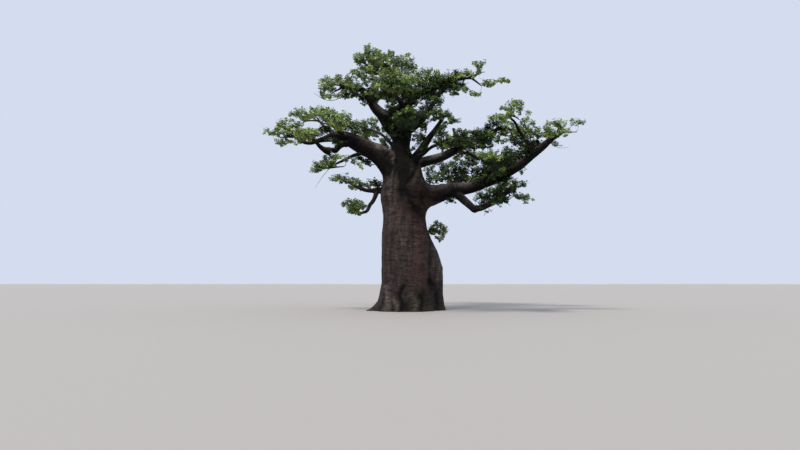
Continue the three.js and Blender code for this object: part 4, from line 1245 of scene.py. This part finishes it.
# stretches of limbs with short sprays of their own, by shares of the limb's length: how many, the way
# they point, how widely they spread round it, how long they are and what share of their shoots is bare
limbSprays = [
    dict(on="bough_right_rise", span=(0, 0.9), count=48, way=(-0.5, 0.3, 0.7), spread=0.5),
    dict(on="bough_right_rise", span=(0, 0.12), count=8,
        way=(0.4, 0.1, -0.8), spread=0.4, long=(0.15, 0.3)),
    dict(on="bough_right", span=(0.8, 1), count=16, way=(-0.3, 0.1, 0.9), spread=0.5),
    dict(on="bough_right", span=(0.455, 0.475), count=3,
        way=(0, -0.2, -1), spread=0.2, long=(0.3, 0.5)),
    dict(on="bough_right_upper", span=(0.4, 1), count=50,
        way=(0, -0.2, 0.7), spread=0.7, long=(0.2, 0.5)),
    dict(on="bough_right_upper", span=(0.6, 0.95), count=50, way=(0, -0.2, 0.3), spread=0.7, bare=0.85),
    dict(on="bough_right_inner", span=(0.2, 0.65), count=12,
        way=(-0.8, 0.4, 0.3), spread=0.5, long=(0.15, 0.3)),
    dict(on="fork_right", span=(0.3, 0.95), count=150,
        way=(0, -0.6, 0), spread=0.8, long=(0.15, 0.42), bare=0.5),
    dict(on="fork_left", span=(0.05, 0.5), count=24, way=(0.6, 0, 0.8), spread=0.4, long=(0.2, 0.5)),
    dict(on="fork_left", span=(0, 0.35), count=16, way=(0.2, -1, 0.2), spread=0.4, long=(0.15, 0.35)),
    dict(on="fork_left", span=(0.75, 1), count=24, way=(0, -0.2, 0.3), spread=1),
    dict(on="fork_right_back", span=(0.15, 0.9), count=50,
        way=(0, -0.7, 0), spread=0.7, long=(0.2, 0.5)),
    dict(on="bough_left", span=(0.34, 0.48), count=8, way=(0, 0.3, -1), spread=0.3, long=(0.2, 0.4)),
    dict(on="bough_left", span=(0.6, 0.98), count=26, way=(0, 0, 0.8), spread=0.6),
    dict(on="bough_back_left", span=(0.15, 0.7), count=26, way=(0, 0, 0.1), spread=1, long=(0.2, 0.5)),
    dict(on="branch_side_left", span=(0.15, 0.98), count=20,
        way=(0, -0.1, 0.9), spread=0.5, long=(0.15, 0.35)),
    dict(on="limb_right_low_rise", span=(0.15, 0.8), count=50, way=(0, 0, 0.3), spread=1, bare=0.8),
    dict(on="limb_right_mid", span=(0, 0.9), count=30, way=(0, 0, 0.3), spread=1),
    dict(on="limb_right_upright", span=(0, 0.35), count=50, way=(0, 0, 0.1), spread=1, bare=0.85),
    dict(on="limb_hook", span=(0.3, 0.7), count=8, way=(-0.2, 0, 1), spread=0.4, long=(0.15, 0.35)),
    dict(on="limb_inner_side", span=(0.4, 1), count=12, way=(0, 0, 0.2), spread=1),
    dict(on="leader", span=(0.72, 1), count=28, way=(0, -1, 0.2), spread=0.6),
]
# what these sprays share: their length, how deep they are rooted, how they bend out, onward and up, and
# their girth and greens
limbSpray = dict(
    long=(0.18, 0.42), sunk=0.7, bendOut=0.5, tipOut=0.4, tipAlong=(0.1, 0.5), lift=(0, 0, 0.2),
    girth=0.01, bareGirth=(0.017, 0.008), greens=["deep", "deep", "green"],
)

# bare twigs that stand out against the sky, read from the photo: the mass they leave, at what share of
# its stem
bareTwigs = [
    dict(on="leaves_crest_left", at=0.45, line=[(338, 99.5), (330, 101), (322, 99), (314, 93)], thick=0.03),
    dict(on="leaves_left_low", at=0.95, line=[(326, 172), (320, 180), (315, 188)], thick=0.018),
    dict(on="leaves_right_tip", at=0.3, line=[(552, 145), (560, 149), (569, 147)], thick=0.016),
    dict(on="leaves_back_right", at=0.7, line=[(474, 161), (479, 168), (482, 173)], thick=0.022),
    dict(on="leaves_right_mid", at=0.8, line=[(484, 154), (490, 148), (496, 145)], thick=0.022),
]
bareTwig = dict(round=4, steps=14, sides=5, tip=0.3, side=np.array([0.1, 0.99, 0.1]))


# a bare twig: a smooth line from a mass's stem through its places in the photo, at the stem's distance
def bareTube(twig):
    stem = massStem(masses[twig["on"]])
    start = bezier(stem["start"], stem["bend"], stem["end"], twig["at"])
    rough = np.concatenate([[start], behindPhoto(twig["line"], start[1])])
    middles = (rough[1:] + rough[:-1]) / 2
    line = [start]
    shares = np.arange(1, bareTwig["round"] + 1) / bareTwig["round"]
    for before, corner, after in zip([start, *middles[1:-1]], rough[1:-1], [*middles[1:-1], rough[-1]]):
        line += list(bezier(before, corner, after, shares))
    line, _ = spacedLine(np.array(line), bareTwig["steps"])
    tangents = unit(np.gradient(line, axis=0))
    radius = twig["thick"] * np.linspace(1, bareTwig["tip"], len(line))
    return closedLoft(ringsRound(line, tangents, bareTwig["side"], radius, bareTwig["sides"]))


# short sprays from the skin of limbs, each outward from its own place round the limb and then upward.
# Also gives the share of bare shoots on each
def growLimbSprays(rng):
    curves = []
    for some in limbSprays:
        count = some["count"]
        grown = grownLimbs[some["on"]]
        share = spreadOver(some["span"], rng.random(count))
        whole = np.linspace(0, 1, len(grown["line"]))
        middle = readOff(share, whole, grown["line"])
        tangent = unit(readOff(share, whole, grown["tangents"]))
        radius = radiusAt(grown, share)[:, None]
        out = rng.normal(0, some["spread"], (count, 3)) + some["way"]
        out = unit(out - tangent * dot(out, tangent)[:, None])
        long = spreadOver(some.get("long", limbSpray["long"]), rng.random(count))[:, None]
        root = middle + out * radius * limbSpray["sunk"]
        bend = middle + out * (radius + long * limbSpray["bendOut"])
        onward = tangent * rng.normal(*limbSpray["tipAlong"], (count, 1))
        tip = bend + (out * limbSpray["tipOut"] + onward + limbSpray["lift"]) * long
        curves.append([root, bend, tip, np.full(count, some.get("bare", 0.0))])
    *curves, bare = together(curves)
    return curves, bare


# what grows in one mass: twigs from its stem to half its reach, then sprays, the nearest first, each from
# the best place on stem, twig or earlier spray: near and not at a sharp turn. Also gives how many each
# carries and how many are twigs
def growMass(index, name, mass, rng):
    stem = massStem(mass)
    curves = [[stem["start"], stem["bend"], stem["end"]]]
    carriers = [0]
    middle = np.array(mass["middle"])
    places, ways = restsOn(curves[0], growth["onStem"])
    heading = ways[2]
    rests, further, least, most = growth["lean"]
    for end in spiral(mass, mass["twigs"], growth["twigReach"], index + seeds["twigs"]):
        share = np.clip(rests + further * unit(end - middle) @ heading, least, most)
        root = bezier(*curves[0], share)
        long = np.linalg.norm(end - root)
        bend = (root + end) / 2 + (rng.normal(0, growth["turn"], 3) + heading * growth["turn"]) * long
        curves.append([root, bend, end])
        carriers.append(0)
    owners = [0] * len(places)
    for number, curve in enumerate(curves[1:], 1):
        more, turned = restsOn(curve, growth["onTwig"])
        places, ways = np.concatenate([places, more]), np.concatenate([ways, turned])
        owners += [number] * len(more)
    tips = sprayTips(index, name, mass, rng)
    far = np.linalg.norm(tips[:, None] - places, axis=2).min(1)
    for tip in tips[far.argsort()]:
        away = tip - places
        far = np.linalg.norm(away, axis=1)
        cost = far * (1 + growth["sharpTurn"] - growth["sharpTurn"] * dot(away, ways) / far)
        best = cost.argmin()
        long = far[best]
        bend = places[best] + ways[best] * long * growth["along"] + away[best] * growth["across"]
        bend = bend + rng.normal(0, growth["wander"], 3) * long
        bend[2] -= growth["sag"] * long
        curve = [places[best], bend, tip]
        more, turned = restsOn(curve, growth["onSpray"])
        carriers.append(owners[best])
        owners += [len(curves)] * len(more)
        curves.append(curve)
        places, ways = np.concatenate([places, more]), np.concatenate([ways, turned])
    load = np.ones(len(curves))
    for number in range(len(curves) - 1, 0, -1):
        load[carriers[number]] += load[number]
    return stem, [np.array(part) for part in zip(*curves[1:])], load[1:], mass["twigs"]


# shoots: how many to a spray, a shoot for each length of it, how far back and how unevenly they leave it,
# how far the first and the rest turn out, how flat and how much onward and upward, their length and bend,
# and how near the edge of the patches they may end
shooting = dict(
    every=0.12, count=(4, 9), back=0.72, uneven=0.05, turnOut=(0.15, 0.9), flat=0.45, onward=0.55,
    up=(0, 0, 0.22), upTurn=(0, 0, 0.2), length=(0.12, 0.30), bend=0.5, edge=1.0,
)


# shoots along the sprays, each pushed out to the side by the golden angle and turned up to the light
def growShoots(sprays, rng):
    long = np.linalg.norm(sprays[2] - sprays[0], axis=1)
    many = np.clip(np.round(long / shooting["every"]), *shooting["count"]).astype(int)
    spray = np.repeat(np.arange(len(long)), many)
    place = np.arange(len(spray)) - (np.cumsum(many) - many)[spray]
    uneven = shooting["uneven"] * rng.random(len(spray)) * (place > 0)
    share = 1 - shooting["back"] * place / many[spray] - uneven
    curves = [part[spray] for part in sprays]
    roots = bezier(*curves, share)
    tangent = unit(roots - bezier(*curves, share - growth["behind"]))
    side = unit(np.cross(tangent, (0.0, 0.0, 1.0)) + 1e-4)
    over = np.cross(side, tangent)
    turn = np.radians(np.arange(len(spray)) * goldenAngle)[:, None]
    spread = np.where(place == 0, *shooting["turnOut"])[:, None]
    outward = (side * np.cos(turn) + over * np.sin(turn) * shooting["flat"]) * spread
    way = unit(tangent * shooting["onward"] + outward + shooting["up"])
    length = spreadOver(shooting["length"], rng.random(len(spray)))[:, None]
    ends = roots + unit(way + shooting["upTurn"]) * length
    return [roots, roots + way * length * shooting["bend"], ends], spray


# the tubes of twigs, sprays and shoots: their sides and stretches, how far their points stand out, and how
# steep one is before its side is taken from another axis
tube = dict(twig=(6, 8), spray=(4, 5), shoot=(3, 2), point=1.5, steep=0.9)


# many slim tubes at once: rings round each curve of three points, from its root's radius to its tip's,
# and a point to close the tip
def shootTubes(curve, rootRadius, tipRadius, sides, steps):
    first, bend, last = curve
    t = np.linspace(0, 1, steps + 1)
    every = np.broadcast_to(t, (len(first), steps + 1))
    line = bezier(first[:, None], bend[:, None], last[:, None], every)
    leaving = 2 * (1 - t)[:, None] * (bend - first)[:, None]
    tangent = unit(leaving + 2 * t[:, None] * (last - bend)[:, None] + 1e-9)
    chord = unit(last - first)
    other = np.where(np.abs(chord[:, 2:]) > tube["steep"], (1.0, 0.0, 0.0), (0.0, 0.0, 1.0))
    side = unit(np.cross(chord, other))[:, None]
    across = unit(side - tangent * dot(side, tangent)[..., None])
    over = np.cross(tangent, across)
    turn = np.linspace(0, 2 * np.pi, sides, endpoint=False)[:, None]
    thick = np.asarray(rootRadius).reshape(-1, 1) * (1 - t) + np.asarray(tipRadius).reshape(-1, 1) * t
    thick = np.broadcast_to(thick, line.shape[:2])[..., None, None]
    rings = line[:, :, None] + thick * (across[:, :, None] * np.cos(turn) + over[:, :, None] * np.sin(turn))
    tip = last + tangent[:, -1] * thick[:, -1, 0] * tube["point"]
    each = (steps + 1) * sides + 1
    points = np.concatenate([rings.reshape(len(first), -1, 3), tip[:, None]], 1)
    place = np.arange(sides)
    rim = steps * sides
    end = np.stack([rim + place, rim + (place + 1) % sides, np.full(sides, each - 1)], 1)
    foot = np.stack([np.zeros(sides - 2, int), place[2:], place[1:-1]], 1)
    faces = np.concatenate([wallFaces(steps + 1, sides), end, foot])
    return points.reshape(-1, 3), (faces + np.arange(len(first))[:, None, None] * each).reshape(-1, 3)


# one leaf in its own frame, x out along the stalk, y to the side and z up: a stalk and five leaflets,
# each a blade of two faces folded along its midrib that droops to its tip
leaf = dict(
    stalk=0.045, stalkWide=0.004, leaflets=5, spread=80, length=0.096, outerLength=0.72, wide=0.22,
    widest=0.58, fold=0.28, droop=0.25, size=(0.75, 1.3),
)


# the points and faces of one leaf: the stalk, then each leaflet at its own angle, the outer ones shorter
def leafPattern():
    stalk, wide = leaf["stalk"], leaf["stalkWide"]
    points = [np.array([(0, -wide, 0), (0, wide, 0), (stalk, -wide, 0), (stalk, wide, 0)])]
    faces = [np.array([(0, 2, 3), (0, 3, 1)])]
    for angle in np.linspace(-leaf["spread"], leaf["spread"], leaf["leaflets"]):
        turned = np.radians(angle)
        share = abs(angle) / leaf["spread"]
        long = leaf["length"] * (1 - (1 - leaf["outerLength"]) * share)
        half = long * leaf["wide"]
        widest = leaf["widest"]
        low = -(leaf["fold"] * half + leaf["droop"] * widest * long)
        blade = np.array([(0, 0, 0), (widest * long, half, low), (widest * long, -half, low),
            (long, 0, -leaf["droop"] * long)])
        x = blade[:, 0] * np.cos(turned) - blade[:, 1] * np.sin(turned) + stalk
        y = blade[:, 0] * np.sin(turned) + blade[:, 1] * np.cos(turned)
        start = sum(len(part) for part in points)
        points.append(np.stack([x, y, blade[:, 2]], 1))
        faces.append(np.array([(0, 3, 1), (0, 2, 3)]) + start)
    return np.concatenate(points), np.concatenate(faces)


# leaves at places, each turned to its own outward and upward ways and sized
def leafMesh(places, outward, upward, sizes):
    points, faces = leafPattern()
    side = np.cross(upward, outward)
    turned = (places[:, None] + sizes[:, None, None] * (points[None, :, :1] * outward[:, None]
        + points[None, :, 1:2] * side[:, None] + points[None, :, 2:] * upward[:, None]))
    allFaces = faces + np.arange(len(places))[:, None, None] * len(points)
    return turned.reshape(-1, 3), allFaces.reshape(-1, 3)


# tufts: how many leaves each has, how far back along the shoot they go, how unevenly they turn, how much
# those at its end and further back lean onward, how flat they lie round it, and how they droop and tilt
tuft = dict(
    leaves=(7, 8), back=0.75, turn=14, lean=(0.8, -0.8), leanUneven=0.16, flat=0.6, droop=(0, 0, 0.4),
    tilt=0.45, tiltUneven=0.35, unlike=(0.31, 0.17, 0.93),
)


# a tuft of leaves round each shoot from its end back, spread by the golden angle and held nearly level
def tuftLeaves(shoots, rng):
    ends = shoots[2]
    low, high = tuft["leaves"]
    count = rng.integers(low, high + 1, len(ends))
    shoot = np.repeat(np.arange(len(ends)), count)
    number = np.arange(len(shoot)) - (np.cumsum(count) - count)[shoot]
    around = number * goldenAngle + 360 * rng.random(len(ends))[shoot]
    around = np.radians(around + rng.normal(0, tuft["turn"], len(shoot)))[:, None]
    axis = unit(shoots[2] - shoots[1])[shoot]
    side = unit(np.cross(axis, tuft["unlike"]))
    over = np.cross(axis, side)
    back = number / count[shoot]
    lean, less = tuft["lean"]
    lean = (lean + less * back + rng.normal(0, tuft["leanUneven"], len(shoot)))[:, None]
    flat = over * np.sin(around) * tuft["flat"]
    outward = unit(side * np.cos(around) + flat + axis * lean - tuft["droop"])
    upright = np.array([0, 0, 1]) + tuft["tilt"] * axis + rng.normal(0, tuft["tiltUneven"], outward.shape)
    upward = unit(upright - outward * dot(upright, outward)[:, None])
    t = (1 - tuft["back"] * back)[:, None]
    places = bezier(*[part[shoot][:, None] for part in shoots], t)[:, 0]
    return [places, outward, upward, spreadOver(leaf["size"], rng.random(len(shoot)))], shoot


# the five greens, each mottled between two: the sunlit and half-lit greens are painted light, the plain
# green is not, the deep green is painted shade, and the sky-haze green is the sky's light painted at the
# edges
foliage = dict(
    bright=((0.287, 0.385, 0.095, 1), (0.370, 0.475, 0.145, 1)),
    fresh=((0.160, 0.233, 0.055, 1), (0.240, 0.325, 0.093, 1)),
    green=((0.070, 0.119, 0.027, 1), (0.115, 0.179, 0.045, 1)),
    deep=((0.0125, 0.0245, 0.0075, 1), (0.026, 0.047, 0.0145, 1)),
    blue=((0.105, 0.150, 0.095, 1), (0.160, 0.210, 0.140, 1)),
)
leafLook = dict(mottle=(14.0, 3.0), rough=(0.5, 0.75), specular=0.15)
twigLook = dict(
    speck=(30.0, 4.0, 0.7), colours=[(0.35, (0.012, 0.009, 0.008, 1)), (0.7, (0.045, 0.036, 0.031, 1))],
    rough=0.9, bump=0.4, bumpDepth=0.004,
)


def leafMaterial(name, colours):
    paint, tree, shader = newPaint(name)
    place = addNode(tree, "ShaderNodeTexCoord").outputs["Object"]
    mottle = noiseOf(tree, place, *leafLook["mottle"])
    tree.links.new(mixColours(tree, mottle, *colours), shader.inputs["Base Color"])
    roughen(tree, shader, mottle, *leafLook["rough"])
    shader.inputs["Specular IOR Level"].default_value = leafLook["specular"]
    return paint


def twigMaterial():
    paint, tree, shader = newPaint("twig_bark")
    place = addNode(tree, "ShaderNodeTexCoord").outputs["Object"]
    speck = noiseOf(tree, place, *twigLook["speck"])
    tree.links.new(rampOf(tree, speck, twigLook["colours"]), shader.inputs["Base Color"])
    shader.inputs["Roughness"].default_value = twigLook["rough"]
    dent(tree, shader, speck, twigLook["bump"], twigLook["bumpDepth"])
    return paint


# the slim limbs and the stems of the masses, in one piece
def makeBranches(parts):
    slimNames = [name for name in limbs if name not in stout]
    parts = [slimLimb(name) for name in slimNames] + parts
    mesh = meshOf("branches", *joined([part[:2] for part in parts]))
    setBark(mesh, *together([part[2:] for part in parts]))
    addPiece(mesh, barkPaint, slimNames)


# places in the photo where leaves are dark: across, down, and how wide and high, in its pixels
# the leaves in these places are dealt darker greens, painted shade
shadePlaces = [(438, 94, 20, 7), (445, 87, 18, 5), (520, 141, 10, 5), (497, 196, 13, 8), (514, 161, 13, 10),
    (476, 138, 17, 5), (384, 96, 20, 5), (352, 92, 14, 4), (468, 170, 12, 8), (326, 138, 8, 4),
    (410, 122, 14, 6), (438, 131, 12, 9)]

# how the greens are dealt, as painted light and shade: how much darker the dark places are, how lightness
# goes with height in the patch and nearness to its edge, how mixed it is, and from where on each green
# takes over. The sky-haze green, painted sky light, takes a share of those near an edge that aren't dark
dealing = dict(
    darker=1.1, byHeight=0.8, byEdge=0.5, edgeFrom=0.4, mixed=0.38, halfLitFrom=0, brightFrom=0.5,
    deepTo=-0.45, blueEdge=0.45, blueFrom=-0.3, blueMass=-0.2, blueShare=0.22,
)


# which green each shoot gets: the sunlit green, painted light, high in its patch and near its edge; the
# deep green, painted shade, low in it and in dark places; the sky-haze green at some edges
def dealGreens(name, tips, rng):
    edge, height = patchDepths(name, tips)
    across, down = inPhoto(tips)
    for u, v, wide, high in shadePlaces:
        height = height - dealing["darker"] * np.exp(-((across - u) / wide) ** 2 - ((down - v) / high) ** 2)
    own = masses[name].get("light", 0)
    light = dealing["byHeight"] * height + dealing["byEdge"] * (edge - dealing["edgeFrom"]) + own
    light = light + rng.normal(0, dealing["mixed"], len(tips))
    names = np.full(len(tips), "green", dtype="<U8")
    names[light > dealing["halfLitFrom"]] = "fresh"
    names[light > dealing["brightFrom"]] = "bright"
    names[light < dealing["deepTo"]] = "deep"
    hazy = (edge > dealing["blueEdge"]) & (light > dealing["blueFrom"]) & (own > dealing["blueMass"])
    names[hazy & (rng.random(len(tips)) < dealing["blueShare"])] = "blue"
    return names


# the most leaves that one piece holds, so that it stays under 200,000 triangles
mostLeaves = 16000


# leaves put with the others of their green
def sortLeaves(leaves, parts, greens):
    for green in foliage:
        leaves[green].append([part[greens == green] for part in parts])


# all the foliage: what each mass grows, then the sprays on the limbs, then the pieces, each kind apart
def makeFoliage():
    rng = np.random.default_rng(seeds["foliage"])
    stemParts, twigs, sprays, shootParts = [], [], [], []
    leaves = {green: [] for green in foliage}
    for index, (name, mass) in enumerate(masses.items()):
        stem, curves, load, count = growMass(index, name, mass, rng)
        stemParts.append(stemTube(stem, index + seeds["twigs"]))
        thick = np.minimum(growth["twig"] * np.sqrt(load), growth["thickest"])
        twigs.append([part[:count] for part in curves] + [thick[:count]])
        thin = growth["spray"] * np.sqrt(load)
        sprays.append([part[count:] for part in curves] + [thin[count:]])
        shoots, _ = growShoots([part[count:] for part in curves], rng)
        kept = ownsPoints(index, shoots[2]) & (patchDepths(name, shoots[2])[0] < shooting["edge"])
        kept &= insideBox(shoots[2])
        shoots = [part[kept] for part in shoots]
        shootParts.append(shoots)
        parts, shoot = tuftLeaves(shoots, rng)
        sortLeaves(leaves, parts, dealGreens(name, shoots[2], rng)[shoot])
        print(name, "grown:", len(curves[0]) - count, "sprays,", len(shoot), "leaves")
    curves, bare = growLimbSprays(rng)
    sprays.append(curves + [np.full(len(curves[0]), limbSpray["girth"])])
    shoots, spray = growShoots(curves, rng)
    leafy = rng.random(len(spray)) >= bare[spray]
    bareShoots = [part[~leafy] for part in shoots]
    shoots, spray = [part[leafy] for part in shoots], spray[leafy]
    shootParts.append(shoots)
    parts, shoot = tuftLeaves(shoots, rng)
    sortLeaves(leaves, parts, rng.choice(limbSpray["greens"], len(bare))[spray[shoot]])
    makeBranches(stemParts)
    massNames = list(masses)
    *twigCurves, twigThick = together(twigs)
    *sprayCurves, sprayThick = together(sprays)
    tubes = [
        shootTubes(twigCurves, twigThick, twigThick * growth["twigTip"], *tube["twig"]),
        shootTubes(sprayCurves, sprayThick, sprayThick * growth["sprayTip"], *tube["spray"]),
        shootTubes(bareShoots, *limbSpray["bareGirth"], *tube["shoot"]),
    ] + [bareTube(twig) for twig in bareTwigs]
    twigPaint = twigMaterial()
    addPiece(meshOf("twigs", *joined(tubes)), twigPaint, massNames)
    shootMesh = meshOf("shoots", *shootTubes(together(shootParts), *growth["shoot"], *tube["shoot"]))
    addPiece(shootMesh, twigPaint, massNames)
    for green, colours in foliage.items():
        parts = together(leaves[green])
        paint = leafMaterial("leaf_" + green, colours)
        pieces = int(np.ceil(len(parts[0]) / mostLeaves))
        for number in range(pieces):
            some = leafMesh(*[part[number::pieces] for part in parts])
            mesh = meshOf(f"leaves_{green}_{number + 1}", *some)
            addPiece(mesh, paint, massNames, smooth=False)


makeFoliage()
